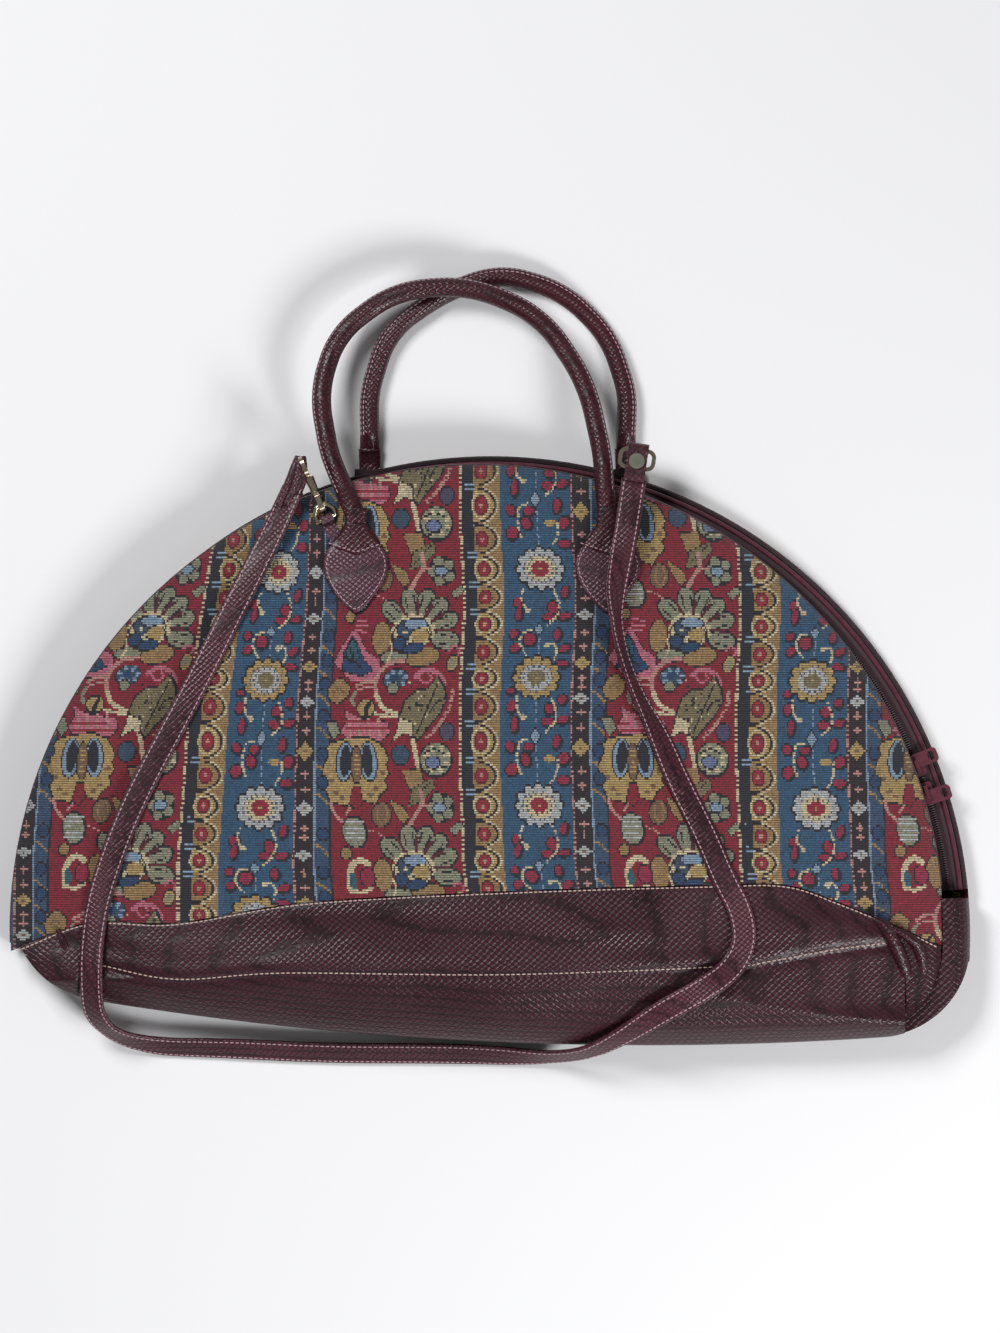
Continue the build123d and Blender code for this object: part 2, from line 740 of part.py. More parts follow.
for name, eye, heading, upright in (
    ("left", left_eye, left_heading, True),
    ("right", right_eye, right_heading, False),
):
    at = hook_plane(eye, heading)
    keep(placed(hook_eye(upright), at), name + "_hook_eye")
    keep(placed(hook_body(), at), name + "_hook")
    keep(placed(hook_gate(), at), name + "_hook_gate")

# Folded strap ends, looped round the far bar of each eye
bore = eye_wire * math.sqrt(2) + running_gap
loop_outer = bore + strap_thickness
far_bar = eye_wire - eye_depth / 2
left_middle = -loop_outer + strap_thickness
left_plane = hook_plane(left_eye, left_heading)
left_bar = left_plane.from_local_coords((far_bar, 0, 0))
left_fold_plane = Plane(origin=left_bar, x_dir=(*left_end_heading, 0), z_dir=(0, 0, 1))
with BuildPart() as strap_end_left:
    with BuildSketch(left_fold_plane.offset(-strap_loop_width / 2)):
        Circle(loop_outer)
        with Locations((left_end_length / 2, left_middle)):
            Rectangle(left_end_length, 2 * strap_thickness)
        Circle(bore, mode=Mode.SUBTRACT)
    extrude(amount=strap_loop_width)
    with BuildSketch(left_fold_plane.offset(-strap_width / 2)):
        with Locations(((left_end_length + left_loop_length) / 2, left_middle)):
            Rectangle(left_end_length - left_loop_length, 2 * strap_thickness)
    extrude(amount=strap_width)
keep(strap_end_left.part, "strap_end_left")

right_plane = hook_plane(right_eye, right_heading)
right_bar = right_plane.from_local_coords((far_bar, 0, 0))
rise = math.atan(right_end_rise)
along = Vector(right_end_heading[0] * math.cos(rise), right_end_heading[1] * math.cos(rise), math.sin(rise))
right_fold_plane = Plane(origin=right_bar, x_dir=along, z_dir=along.cross(Vector(0, 0, 1)).normalized())
fold_middle = loop_outer + strap_thickness - right_end_sink
with BuildPart() as strap_end_right:
    with BuildSketch(right_fold_plane):
        Circle(loop_outer)
        Circle(bore, mode=Mode.SUBTRACT)
        with Locations((right_end_length / 2, fold_middle)):
            Rectangle(right_end_length, 2 * strap_thickness)
    extrude(amount=strap_loop_width / 2, both=True)
keep(strap_end_right.part, "strap_end_right")
with BuildPart() as strap_cap:
    cap_base = right_fold_plane.from_local_coords((cap_along, fold_middle + strap_thickness, 0))
    with BuildSketch(Plane(origin=cap_base, x_dir=along, z_dir=right_fold_plane.y_dir)):
        Circle(cap_radius)
    extrude(amount=cap_height)
keep(strap_cap.part, "strap_cap")

# The strap, as a plain tube: down the left of the front, under the base, back up over the front and
# across the right-hand tab to its second hook. Points without a height lie on the front panel.
left_start = left_fold_plane.from_local_coords((left_end_length - strap_inside, left_middle, 0))
right_start = right_fold_plane.from_local_coords((right_end_length - strap_inside, fold_middle, 0))
strap_route = [
    tuple(left_start), (-143, 264, 39.0), (-161, 214), (-193, 150), (-228, 86), (-247, 35),
    (-253.4, 3.2, 44), (-255, -27, 45.5), (-253, -56, 29), (-224, -71, 3.9), (-167, -72.3, 3.7),
    (-103, -75.5, 3.7),
    (-30, -75.5, 3.7), (8, -77, 3.7), (36, -78, 10), (62, -75, 27), (85, -63, 43), (108, -48, 56),
    (136, -33, 60.5), (154, -20), (162, -3), (159, 17), (148.5, 36), (137, 64), (118, 101), (106, 129),
    (93, 155), (82, 186, 51), (78, 214, 50.8), (81, 238, 48.8), (87, 262, 48.6), tuple(right_start),
]
strap_points = [p if len(p) == 3 else (*p, dome_z(*p) + strap_top_gap) for p in strap_route]
strap_radii = bend_radii(strap_points)
print("strap points", [tuple(round(c, 1) for c in p) for p in strap_points])
print("strap bend radii", [round(r) for r in strap_radii])
with BuildPart() as strap:
    with BuildLine() as strap_line:
        FilletPolyline(*strap_points, radius=strap_radii)
    with BuildSketch(Plane(origin=strap_line.line @ 0, z_dir=strap_line.line % 0)):
        Circle(strap_tube)
    sweep()
    add(strap_end_left.part, mode=Mode.SUBTRACT)
    add(strap_end_right.part, mode=Mode.SUBTRACT)
print("strap length", round(sum(e.length for e in strap_line.edges())))
keep(strap.part, "strap")

for name, part in body_parts.items():
    keep(part, name)
keep(handle_cover(front_plane, front_path, front_hinges, 0), "front_handle_cover")
keep(handle_cover(back_plane, back_path, back_hinges, back_drop), "back_handle_cover")
keep(rolled_tube(front_plane, front_path, core_radius), "front_handle_core")
keep(rolled_tube(back_plane, back_path, core_radius), "back_handle_core")
keep(slider(upper_slider_angle, 1), "upper_slider")
keep(pull(upper_slider_angle, 1), "upper_pull")
keep(slider(lower_slider_angle, -1), "lower_slider")
keep(pull(lower_slider_angle, -1), "lower_pull")

os.makedirs("parts", exist_ok=True)
for name, part in pieces.items():
    export_step(part, f"parts/{name}.step")
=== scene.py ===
import math
import bpy
import numpy as np
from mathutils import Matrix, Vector


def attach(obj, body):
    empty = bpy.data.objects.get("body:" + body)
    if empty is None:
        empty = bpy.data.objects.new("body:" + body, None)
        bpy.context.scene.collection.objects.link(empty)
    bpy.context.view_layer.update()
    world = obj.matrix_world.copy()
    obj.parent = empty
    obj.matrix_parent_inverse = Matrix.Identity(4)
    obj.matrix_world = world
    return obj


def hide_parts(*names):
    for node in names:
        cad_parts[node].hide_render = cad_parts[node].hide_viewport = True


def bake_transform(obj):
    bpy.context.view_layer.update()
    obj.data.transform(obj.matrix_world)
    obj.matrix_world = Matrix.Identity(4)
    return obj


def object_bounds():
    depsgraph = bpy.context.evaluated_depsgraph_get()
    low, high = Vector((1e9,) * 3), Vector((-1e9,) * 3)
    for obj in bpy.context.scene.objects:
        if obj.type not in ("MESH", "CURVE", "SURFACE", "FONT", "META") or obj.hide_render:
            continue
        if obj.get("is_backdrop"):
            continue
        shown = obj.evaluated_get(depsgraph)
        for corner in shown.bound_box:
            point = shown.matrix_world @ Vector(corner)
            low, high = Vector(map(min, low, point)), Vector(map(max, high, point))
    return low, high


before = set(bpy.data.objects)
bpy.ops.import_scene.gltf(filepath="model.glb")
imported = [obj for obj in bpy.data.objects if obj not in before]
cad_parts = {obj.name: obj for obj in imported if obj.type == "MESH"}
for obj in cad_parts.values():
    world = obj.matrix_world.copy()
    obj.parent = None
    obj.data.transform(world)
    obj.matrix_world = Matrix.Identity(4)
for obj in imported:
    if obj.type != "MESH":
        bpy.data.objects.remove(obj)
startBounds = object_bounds()
print("stage: frame loaded")

# Lengths are in millimetres until meshObject and rowOfPieces turn them into metres. The bag's arc is centred
# on the origin, +X is its right end and +Y its handles.
MM = 0.001
# millimetres a pixel, the origin's pixel, the picture's size, and where the pattern of the hidden back starts
PHOTO = {"scale": 0.64, "x0": 491.0, "y0": 935.0, "width": 1000, "height": 1333, "backX": 1200}
BODY = {"centre": (-9.0, 3.0), "radius": 297.0, "crown": 58.0, "dome": 1640.0, "roll": 9.0, "rollLow": 18.0,
        "rollOut": 4.0, "baseCentre": (100.0, 2127.3), "baseRadius": 2196.5, "fold": 47.0, "foldTop": 55.0,
        "baseLow": 15.0, "baseOut": 5.0, "reach": 350.0, "rise": 35.0, "slope": -0.15, "corner": 60.0}
BACK = {"radius": 306.0, "lip": 9.6}
TOP_SEAM = [(-345, -26), (-297, -6), (-255, 9), (-200, 9), (-118, 22), (6, 29), (136, 33), (187, 33), (221, 22),
            (255, 8), (283, -5), (345, -38)]
LOWER_SEAM = [(-345, -10), (-262, -18), (-202, -29), (-131, -25), (6, -26), (149, -21), (176, -18), (221, -10),
              (264, -5), (345, 4)]


def smoothLine(points, steps=24):
    points = np.array(points, float)
    ends = np.vstack([2 * points[0] - points[1], points, 2 * points[-1] - points[-2]])
    out = []
    for i in range(1, len(ends) - 2):
        a, b, c, d = ends[i - 1:i + 3]
        for t in np.linspace(0, 1, steps, endpoint=False):
            out.append(0.5 * (2 * b + (c - a) * t + (2 * a - 5 * b + 4 * c - d) * t * t
                              + (3 * b - a - 3 * c + d) * t**3))
    out.append(points[-1])
    return np.array(out)


topSeam = smoothLine(TOP_SEAM)
lowerSeam = smoothLine(LOWER_SEAM)


def tangentArc(start, end, direction):
    start, end = np.array(start, float), np.array(end, float)
    direction = np.array(direction, float) / np.hypot(*direction)
    normal = np.array([direction[1], -direction[0]])
    across = end - start
    radius = (across @ across) / (2 * (across @ normal))
    return start + normal * radius, abs(radius)


shoulder = BODY["radius"] - BODY["roll"]
shoulderZ = BODY["crown"] - BODY["dome"] + math.sqrt(BODY["dome"]**2 - shoulder**2)
rimCentre, rimRadius = tangentArc((shoulder, shoulderZ), (BODY["radius"] + BODY["rollOut"], BODY["rollLow"]),
                                  (1, -shoulder / math.sqrt(BODY["dome"]**2 - shoulder**2)))
foldStart = BODY["baseRadius"] - BODY["fold"]
foldCentre, foldRadius = tangentArc((foldStart, BODY["foldTop"]),
                                    (BODY["baseRadius"] + BODY["baseOut"], BODY["baseLow"]), (1, BODY["slope"]))


def frontHeight(x, y):
    x, y = np.asarray(x, float), np.asarray(y, float)
    away = np.hypot(x - BODY["centre"][0], y - BODY["centre"][1])
    dome = BODY["crown"] - BODY["dome"] + np.sqrt(BODY["dome"]**2 - np.minimum(away, 400)**2)
    roll = rimCentre[1] + np.sqrt(np.maximum(rimRadius**2 - (away - rimCentre[0])**2, 0))
    z = np.where(away > shoulder, np.minimum(roll, dome), dome)
    out = np.hypot(x - BODY["baseCentre"][0], y - BODY["baseCentre"][1])
    level = BODY["foldTop"] + (foldStart - out) * BODY["rise"] / BODY["reach"]
    bend = foldCentre[1] + np.sqrt(np.maximum(foldRadius**2 - (out - foldCentre[0])**2, 0))
    return np.minimum(z, np.where(out > foldStart, bend, level))


def ripple(x, y, sizes, seed):
    random = np.random.default_rng(seed)
    total = np.zeros_like(np.asarray(x, float))
    for size in sizes:
        for turn in random.uniform(0, math.pi, 3):
            phase = random.uniform(0, 2 * math.pi)
            total += np.sin((x * math.cos(turn) + y * math.sin(turn)) * 2 * math.pi / size + phase) * size
    return total / (3 * sum(sizes))


def bump(value, low, high):
    t = np.clip((value - low) / (high - low), 0, 1)
    return t * t * (3 - 2 * t)


# Materials

class Wire:
    def __init__(self, tree, socket):
        self.tree, self.socket = tree, socket

    def math(self, operation, other=None, swap=False):
        node = self.tree.nodes.new("ShaderNodeMath")
        node.operation = operation
        ends = (1, 0) if swap else (0, 1)
        self.tree.links.new(self.socket, node.inputs[ends[0]])
        if isinstance(other, Wire):
            self.tree.links.new(other.socket, node.inputs[ends[1]])
        elif other is not None:
            node.inputs[ends[1]].default_value = other
        return Wire(self.tree, node.outputs[0])

    def clamp(self):
        return self.math("MAXIMUM", 0.0).math("MINIMUM", 1.0)


def overload(name, operation):
    setattr(Wire, "__%s__" % name, lambda self, other: self.math(operation, other))
    setattr(Wire, "__r%s__" % name, lambda self, other: self.math(operation, other, True))


for name, operation in (("add", "ADD"), ("sub", "SUBTRACT"), ("mul", "MULTIPLY"), ("truediv", "DIVIDE")):
    overload(name, operation)


def linear(colour):
    values = np.array(colour, float) / 255
    return tuple(np.where(values <= 0.04045, values / 12.92, ((values + 0.055) / 1.055)**2.4))


class Paint:
    def __init__(self, name, colour, roughness=0.5, metallic=0.0, coat=0.0, sheen=0.0):
        self.material = bpy.data.materials.new(name)
        self.material.use_nodes = True
        self.tree = self.material.node_tree
        self.shader = self.tree.nodes["Principled BSDF"]
        self.shader.inputs["Base Color"].default_value = (*linear(colour), 1)
        self.shader.inputs["Roughness"].default_value = roughness
        self.shader.inputs["Metallic"].default_value = metallic
        self.shader.inputs["Coat Weight"].default_value = coat
        self.shader.inputs["Sheen Weight"].default_value = sheen
        self.place = None

    def node(self, kind, **inputs):
        node = self.tree.nodes.new(kind)
        for name, value in inputs.items():
            node.inputs[name.replace("_", " ")].default_value = value
        return node

    def objectPlace(self):
        if self.place is None:
            self.place = self.tree.nodes.new("ShaderNodeTexCoord").outputs["Object"]
        return self.place

    def where(self, scale=(1, 1, 1), turn=0.0):
        mapping = self.node("ShaderNodeMapping")
        mapping.inputs["Scale"].default_value = scale
        mapping.inputs["Rotation"].default_value = (0, 0, turn)
        self.tree.links.new(self.objectPlace(), mapping.inputs["Vector"])
        return mapping.outputs["Vector"]

    def noise(self, size, detail=2.0, stretch=(1, 1, 1)):
        node = self.node("ShaderNodeTexNoise", Scale=1.0, Detail=detail)
        self.tree.links.new(self.where([s / size for s in stretch]), node.inputs["Vector"])
        return Wire(self.tree, node.outputs["Fac"])

    def cells(self, size, stretch=(1, 1, 1), randomness=0.5, feature="DISTANCE_TO_EDGE", turn=0.0):
        node = self.node("ShaderNodeTexVoronoi", Scale=1.0, Randomness=randomness)
        node.feature = feature
        self.tree.links.new(self.where([s / size for s in stretch], turn), node.inputs["Vector"])
        return Wire(self.tree, node.outputs["Distance"])

    def axis(self, name):
        node = self.tree.nodes.new("ShaderNodeSeparateXYZ")
        self.tree.links.new(self.objectPlace(), node.inputs[0])
        return Wire(self.tree, node.outputs[name])

    def mix(self, factor, first, second):
        node = self.tree.nodes.new("ShaderNodeMix")
        node.data_type = "RGBA"
        self.tree.links.new(factor.socket, node.inputs["Factor"])
        for slot, value in ((6, first), (7, second)):
            if isinstance(value, tuple):
                node.inputs[slot].default_value = (*linear(value), 1)
            else:
                self.tree.links.new(value, node.inputs[slot])
        return node.outputs[2]

    def shade(self, factor, colour):
        node = self.tree.nodes.new("ShaderNodeVectorMath")
        node.operation = "SCALE"
        self.tree.links.new(colour, node.inputs[0])
        self.tree.links.new(factor.socket, node.inputs["Scale"])
        return node.outputs[0]

    def colour(self, socket):
        self.tree.links.new(socket, self.shader.inputs["Base Color"])

    def rough(self, wire):
        self.tree.links.new(wire.socket, self.shader.inputs["Roughness"])

    def emboss(self, wire, distance, strength=1.0, under=None):
        node = self.node("ShaderNodeBump", Strength=strength, Distance=distance)
        self.tree.links.new(wire.socket, node.inputs["Height"])
        if under:
            self.tree.links.new(under, node.inputs["Normal"])
        self.tree.links.new(node.outputs["Normal"], self.shader.inputs["Normal"])
        return node.outputs["Normal"]


def lizard(name, dark, light, cell, roughness, wrinkle=0.0, coat=0.25):
    paint = Paint(name, dark, roughness, coat=coat)
    paint.shader.inputs["Specular IOR Level"].default_value = 0.36
    edge = paint.cells(cell, (1.0, 1.25, 1), 0.25, turn=0.7)
    dome = ((edge * 2.4).clamp() * (math.pi / 2)).math("SINE")
    tint = paint.noise(0.07, 3.0)
    # the colour is painted lighter on each cell's dome as a painted highlight, mixed with random tint, and darkened
    # towards the grooves between cells as painted shade
    tintAndDomeHighlight = (dome * 0.55 + (tint - 0.5) * 0.8 + 0.14).clamp()
    paint.colour(paint.shade((edge * 6.0).clamp() * 0.55 + 0.45, paint.mix(tintAndDomeHighlight, dark, light)))
    paint.rough((roughness + (tint - 0.5) * 0.25 - dome * 0.08).clamp())
    under = None
    if wrinkle:
        crease = paint.noise(0.06, 1.0, (1, 1.6, 1))
        under = paint.emboss(crease, wrinkle, 0.5)
    paint.emboss(dome, 0.0004, 0.6, under)
    return paint.material


def plain(name, colour, roughness=0.5, metallic=0.0, coat=0.0, mottle=0.12, grain=0.004, depth=0.00008):
    paint = Paint(name, colour, roughness, metallic, coat)
    spots = paint.noise(grain, 2.0)
    darker = tuple(int(c * (1 - 2 * mottle)) for c in colour)
    paint.colour(paint.mix((spots * 1.6 - 0.3).clamp(), darker, tuple(colour)))
    paint.emboss(spots, depth, 0.6)
    return paint.material


leather = lizard("leather", (36, 12, 19), (70, 30, 41), 0.0034, 0.4, 0.0007, 0.04)
tabLeather = lizard("tabLeather", (52, 24, 36), (98, 56, 72), 0.003, 0.38, coat=0.04)
tubeLeather = lizard("tubeLeather", (40, 12, 20), (80, 30, 42), 0.003, 0.38, coat=0.04)
strapLeather = lizard("strapLeather", (44, 17, 26), (92, 44, 56), 0.003, 0.38, coat=0.04)
foldLeather = lizard("foldLeather", (38, 12, 20), (78, 31, 43), 0.003, 0.38, coat=0.04)
pipeLeather = plain("pipeLeather", (92, 44, 58), 0.28, coat=0.3)
frontPipe = plain("frontPipe", (64, 26, 38), 0.3, coat=0.3)
tapeCloth = plain("tapeCloth", (58, 28, 40), 0.6, grain=0.0008, depth=0.0003)
coilPlastic = plain("coilPlastic", (46, 24, 34), 0.4)
sliderPaint = plain("sliderPaint", (98, 40, 56), 0.35, coat=0.3)
nickel = plain("nickel", (196, 184, 160), 0.24, 1.0, mottle=0.08)
capMetal = plain("capMetal", (176, 178, 160), 0.28, 1.0, mottle=0.06)
creamThread = plain("creamThread", (214, 186, 176), 0.7, grain=0.0006)
paleThread = plain("paleThread", (196, 160, 170), 0.7, grain=0.0006)
coreFibre = plain("coreFibre", (150, 130, 110), 0.9)
backing = plain("backing", (46, 26, 34), 0.8)
print("stage: materials")


def setMaterial(obj, material):
    obj.data.materials.clear()
    obj.data.materials.append(material)
    for polygon in obj.data.polygons:
        polygon.material_index = 0


nodeMaterials = (
    (backing, "front_panel back_panel"),
    (leather, "front_band base_panel back_band right_end_gusset left_end_gusset"),
    (frontPipe, "front_piping"), (pipeLeather, "back_piping"),
    (tapeCloth, "zip_tape_front zip_tape_back"), (coilPlastic, "zip_coil_front zip_coil_back"),
    (sliderPaint, "upper_slider upper_pull lower_slider lower_pull"),
    (tubeLeather, "front_handle_cover back_handle_cover"), (coreFibre, "front_handle_core back_handle_core"),
    (tabLeather, "front_tab_left front_tab_right back_tab_left back_tab_right left_ring_keeper right_ring_keeper"),
    (nickel, "left_ring right_ring left_hook_eye right_hook_eye left_hook right_hook left_hook_gate"
             " right_hook_gate"),
    (strapLeather, "strap_end_left strap_end_right strap"), (capMetal, "strap_cap"),
)
for material, nodeNames in nodeMaterials:
    for nodeName in nodeNames.split():
        setMaterial(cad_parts[nodeName], material)


# The tapestry's pattern, drawn in the photograph's pixels over one repeat

TILE = (275.0, 235.0)
INK = {
    "red": (126, 25, 43), "navy": (30, 34, 46), "teal": (44, 80, 110), "black": (36, 26, 34), "blue": (50, 74, 102),
    "dark": (26, 22, 30), "gold": (164, 138, 88), "tan": (146, 116, 76), "cream": (192, 178, 144),
    "grey": (130, 130, 110), "olive": (116, 106, 78), "pink": (178, 98, 116), "rose": (176, 128, 120),
    "sky": (124, 146, 168), "deep": (34, 62, 98), "green": (38, 90, 102), "magenta": (140, 34, 62),
    "white": (166, 168, 168), "mauve": (72, 68, 92), "slate": (52, 72, 94), "brown": (116, 88, 66),
    "maroon": (86, 22, 36), "lilac": (100, 114, 148), "crimson": (140, 34, 50),
}
motifs = []


def blob(ink, x, y, rx, ry, turn=0.0, tall=1, line=1.3):
    if line and min(rx, ry) > 4 and ink not in ("dark", "navy"):
        motifs.append(("blob", "dark", x, y, (rx + line, ry + line, math.radians(turn)), tall))
    motifs.append(("blob", ink, x, y, (rx, ry, math.radians(turn)), tall))


def patch(ink, points, tall=1, line=1.3):
    points = np.array(points, float)
    middle = points.mean(0)
    if line and ink not in ("dark", "navy"):
        away = points - middle
        motifs.append(("patch", "dark", middle[0], middle[1],
                       away * (1 + line / np.maximum(np.hypot(away[:, 0], away[:, 1]), 3))[:, None], tall))
    motifs.append(("patch", ink, middle[0], middle[1], points - middle, tall))


def thread(ink, width, points, dash=0.0, tall=1):
    points = smoothLine(points, 5) if len(points) > 2 else np.array(points, float)
    middle = points.mean(0)
    motifs.append(("thread", ink, middle[0], middle[1], (points - middle, width, dash), tall))


def flower(ink, x, y, radii, count, petal, start=0.0, spread=360.0):
    for i in range(count):
        a = math.radians(start + spread * i / max(count - (spread < 360), 1))
        blob(ink, x + radii[0] * math.cos(a), y - radii[1] * math.sin(a), *petal, -math.degrees(a))


def fanFlower():
    petals = (136, 100, 72, 48, 22, -10)
    for ink, rx, ry in (("dark", 15.5, 10.5), ("grey", 13.5, 8.6)):
        for a in petals:
            r = math.radians(a)
            blob(ink, 412 + 31 * math.cos(r), 634 - 33 * math.sin(r), rx, ry, -a)
    for a in petals:
        r = math.radians(a)
        for off in (-0.13, 0.13):
            x, y = 412 + 32 * math.cos(r + off), 634 - 34 * math.sin(r + off)
            thread("dark", 1.6, [(x - 6 * math.cos(r), y + 6 * math.sin(r)),
                                 (x + 5 * math.cos(r), y - 5 * math.sin(r))])
    for a in (118, 86, 60, 35, 6):
        r = math.radians(a)
        thread("maroon", 3.0, [(412 + 20 * math.cos(r), 632 - 19 * math.sin(r)),
                               (412 + 33 * math.cos(r), 634 - 34 * math.sin(r))])
    blob("tan", 379, 637, 9, 16)
    blob("tan", 421, 656, 17, 9, -8)
    blob("grey", 392, 656, 13, 6)
    flower("cream", 410, 631, (17, 14), 9, (5, 4), -10, 210)
    blob("cream", 409, 634, 18, 15)
    blob("slate", 404, 628, 9, 9)
    blob("sky", 412, 623, 11, 5)
    blob("gold", 417, 635, 9, 7)
    blob("deep", 397, 642, 6, 6)
    blob("deep", 411, 647, 10, 4.5, -10)
    blob("dark", 399, 650, 3, 2.5)
    thread("cream", 2, [(388, 640), (390, 650), (386, 660)])
    for x, y in ((402, 631), (419, 628), (408, 637), (424, 640)):
        blob("cream", x, y, 2.4, 1.6)
    blob("gold", 451, 663, 5, 8, 15)
    blob("grey", 451, 663, 3, 5, 15)
    thread("pink", 2.4, [(447, 650), (452, 646), (457, 650), (456, 655)])
    patch("grey", [(447, 593), (456, 586), (461, 590), (452, 599)])


def redField():
    fanFlower()
    patch("pink", [(350, 627), (357, 637), (364, 650), (378, 658), (378, 668), (374, 678), (350, 679), (331, 661),
                   (338, 644)], 2)
    patch("deep", [(349, 634), (355, 644), (361, 657), (372, 668), (360, 674), (340, 668), (341, 651), (345, 641)], 2)
    patch("green", [(349, 637), (353, 645), (356, 655), (350, 660), (343, 655), (345, 643)], 2)
    thread("dark", 1.5, [(347, 645), (350, 656), (362, 668)], 0, 2)
    thread("dark", 1.5, [(342, 655), (350, 657), (351, 650)], 0, 2)
    for y in (620, 624, 628, 632):
        thread("pink", 1.8, [(352, y), (366 - abs(y - 626) * 0.7, y - 1)], 0, 2)
    patch("tan", [(343, 614), (351, 613), (348, 622), (344, 620)], 2)
    thread("rose", 4.2, [(402, 659), (388, 662), (378, 672), (375, 684), (378, 698)])
    thread("cream", 4.6, [(377, 694), (384, 706), (398, 713), (408, 722), (414, 742), (419, 768)])
    thread("cream", 3.6, [(374, 711), (386, 714), (400, 715)])
    blob("slate", 395, 677, 12, 9, -12)
    flower("sky", 396, 677, (9, 7), 7, (3.2, 2), 10)
    blob("deep", 394, 676, 4.5, 3.5)
    blob("grey", 393, 687, 5, 5)
    thread("pink", 4.8, [(415, 675), (424, 669), (436, 672), (443, 681), (441, 690)])
    thread("pink", 2.2, [(418, 676), (424, 682), (431, 678), (428, 673)])
    thread("rose", 4, [(452, 691), (450, 706), (439, 724), (426, 738)], 2.5)
    olive = [(437, 676), (444, 688), (446, 700), (440, 712), (426, 729), (418, 739), (411, 729), (400, 715),
             (406, 698), (417, 689), (426, 689)]
    middle = np.array(olive).mean(0)
    patch("dark", [tuple(middle + 1.08 * (np.array(p) - middle)) for p in olive])
    patch("olive", [tuple(middle + 0.98 * (np.array(p) - middle)) for p in olive])
    random = np.random.default_rng(4)
    for i in range(46):
        blob("dark" if i % 3 else "cream", middle[0] + random.normal(0, 9), middle[1] + random.normal(0, 13), 1.3, 0.9)
    thread("dark", 1.6, [(437, 684), (429, 704), (417, 732)])
    thread("dark", 1.6, [(446, 698), (436, 702), (430, 712)])
    patch("cream", [(400, 716), (413, 722), (412, 734), (405, 731), (393, 739), (398, 728)])
    patch("tan", [(326, 688), (334, 678), (340, 676), (349, 684), (347, 694), (337, 702), (329, 698)])
    thread("brown", 1.6, [(332, 690), (338, 686), (343, 691)])
    thread("rose", 3.4, [(356, 684), (366, 679), (375, 680)])
    thread("rose", 2, [(357, 688), (366, 685), (375, 685)])
    thread("grey", 4, [(355, 690), (352, 697), (354, 703)])
    blob("dark", 366, 707, 9.5, 9)
    blob("gold", 366, 706, 8.5, 8)
    thread("dark", 4.4, [(369, 702), (366, 708), (366, 717)])
    patch("pink", [(345, 708), (352, 712), (362, 717), (372, 718), (388, 720), (390, 731), (382, 738), (350, 739),
                   (341, 729), (347, 718)])
    for x in (350, 359, 369, 379):
        thread("rose", 2.6, [(x, 716), (x + 1, 732)])
    for y in (719, 725, 731):
        thread("crimson", 1.3, [(344, y), (388, y + 1)])
    patch("grey", [(326, 719), (336, 719), (340, 730), (334, 737), (329, 729)])
    blob("mauve", 447, 731, 6.5, 8.5)
    blob("slate", 401, 753, 8.5, 9.5)
    palmette()
    blob("dark", 436, 759, 17, 18)
    blob("grey", 436, 758, 15, 16)
    flower("cream", 437, 758, (11, 11), 8, (3.4, 2.4), 20)
    blob("lilac", 433, 761, 7, 5.5)
    thread("dark", 1.6, [(424, 752), (434, 748), (444, 752)])
    thread("dark", 1.6, [(428, 770), (437, 767), (447, 766)])
    patch("tan", [(403, 769), (421, 767), (424, 785), (416, 794), (409, 787)])
    patch("olive", [(412, 787), (432, 777), (434, 786), (420, 800), (407, 804)])
    thread("dark", 1.3, [(430, 780), (420, 790), (409, 801)], 2.2)
    blob("dark", 439, 806, 13.5, 15)
    flower("grey", 439, 806, (8, 9), 5, (6, 5), 36)
    blob("sky", 438, 806, 6, 4.5)
    thread("rose", 4.2, [(420, 789), (421, 801), (414, 812), (408, 822)])
    thread("rose", 3, [(420, 804), (428, 804)])
    patch("tan", [(389, 797), (402, 805), (407, 815), (401, 821), (394, 812)])
    blob("brown", 380, 812, 9, 12, 10)
    thread("tan", 1.5, [(377, 806), (376, 815), (380, 821)])
    thread("tan", 1.5, [(384, 803), (386, 812), (383, 820)])
    blob("dark", 354, 829, 12, 17, -12)
    blob("grey", 353, 829, 10.5, 15, -12)
    for y in (818, 822, 826, 830, 834, 838):
        thread("white", 1.6, [(345, y), (362, y)])
    thread("rose", 3, [(331, 800), (334, 810), (342, 819)])
    thread("rose", 2.4, [(350, 805), (346, 811)])
    blob("tan", 345, 850, 5, 5.5)
    thread("rose", 2, [(367, 827), (374, 829), (382, 834)], 2)
    thread("cream", 6, [(366, 861), (358, 857), (350, 863), (347, 874), (347, 886)], 0, 2)
    blob("green", 350, 878, 3.6, 9, 0, 2)
    thread("cream", 4, [(347, 886), (356, 889), (366, 885)], 0, 2)
    blob("magenta", 364, 874, 6.5, 9, 0, 2)


def palmette():
    gold = [(331, 741), (345, 737), (366, 735), (380, 741), (385, 748), (389, 757), (386, 763), (389, 771), (384, 778),
            (387, 785), (379, 792), (374, 801), (363, 797), (352, 804), (341, 801), (331, 799), (326, 786), (323, 768),
            (326, 760), (324, 752)]
    patch("dark", [(x + (x - 356) * 0.05, y + (y - 768) * 0.05) for x, y in gold])
    patch("gold", gold)
    for side in (-1, 1):
        blob("sky", 357 + side * 12, 759, 8, 19, side * -4)
        blob("navy", 357 + side * 11, 758, 5.4, 16, side * -4)
    blob("brown", 357, 762, 5, 18)
    for y in (752, 757, 762, 767, 772):
        blob("gold", 357, y, 3, 1.2)
    patch("red", [(353, 784), (360, 784), (362, 799), (356, 806), (349, 801)])
    for x, y in ((336, 790), (342, 795), (370, 792), (376, 786), (331, 778), (383, 770)):
        blob("brown", x, y, 3, 2)


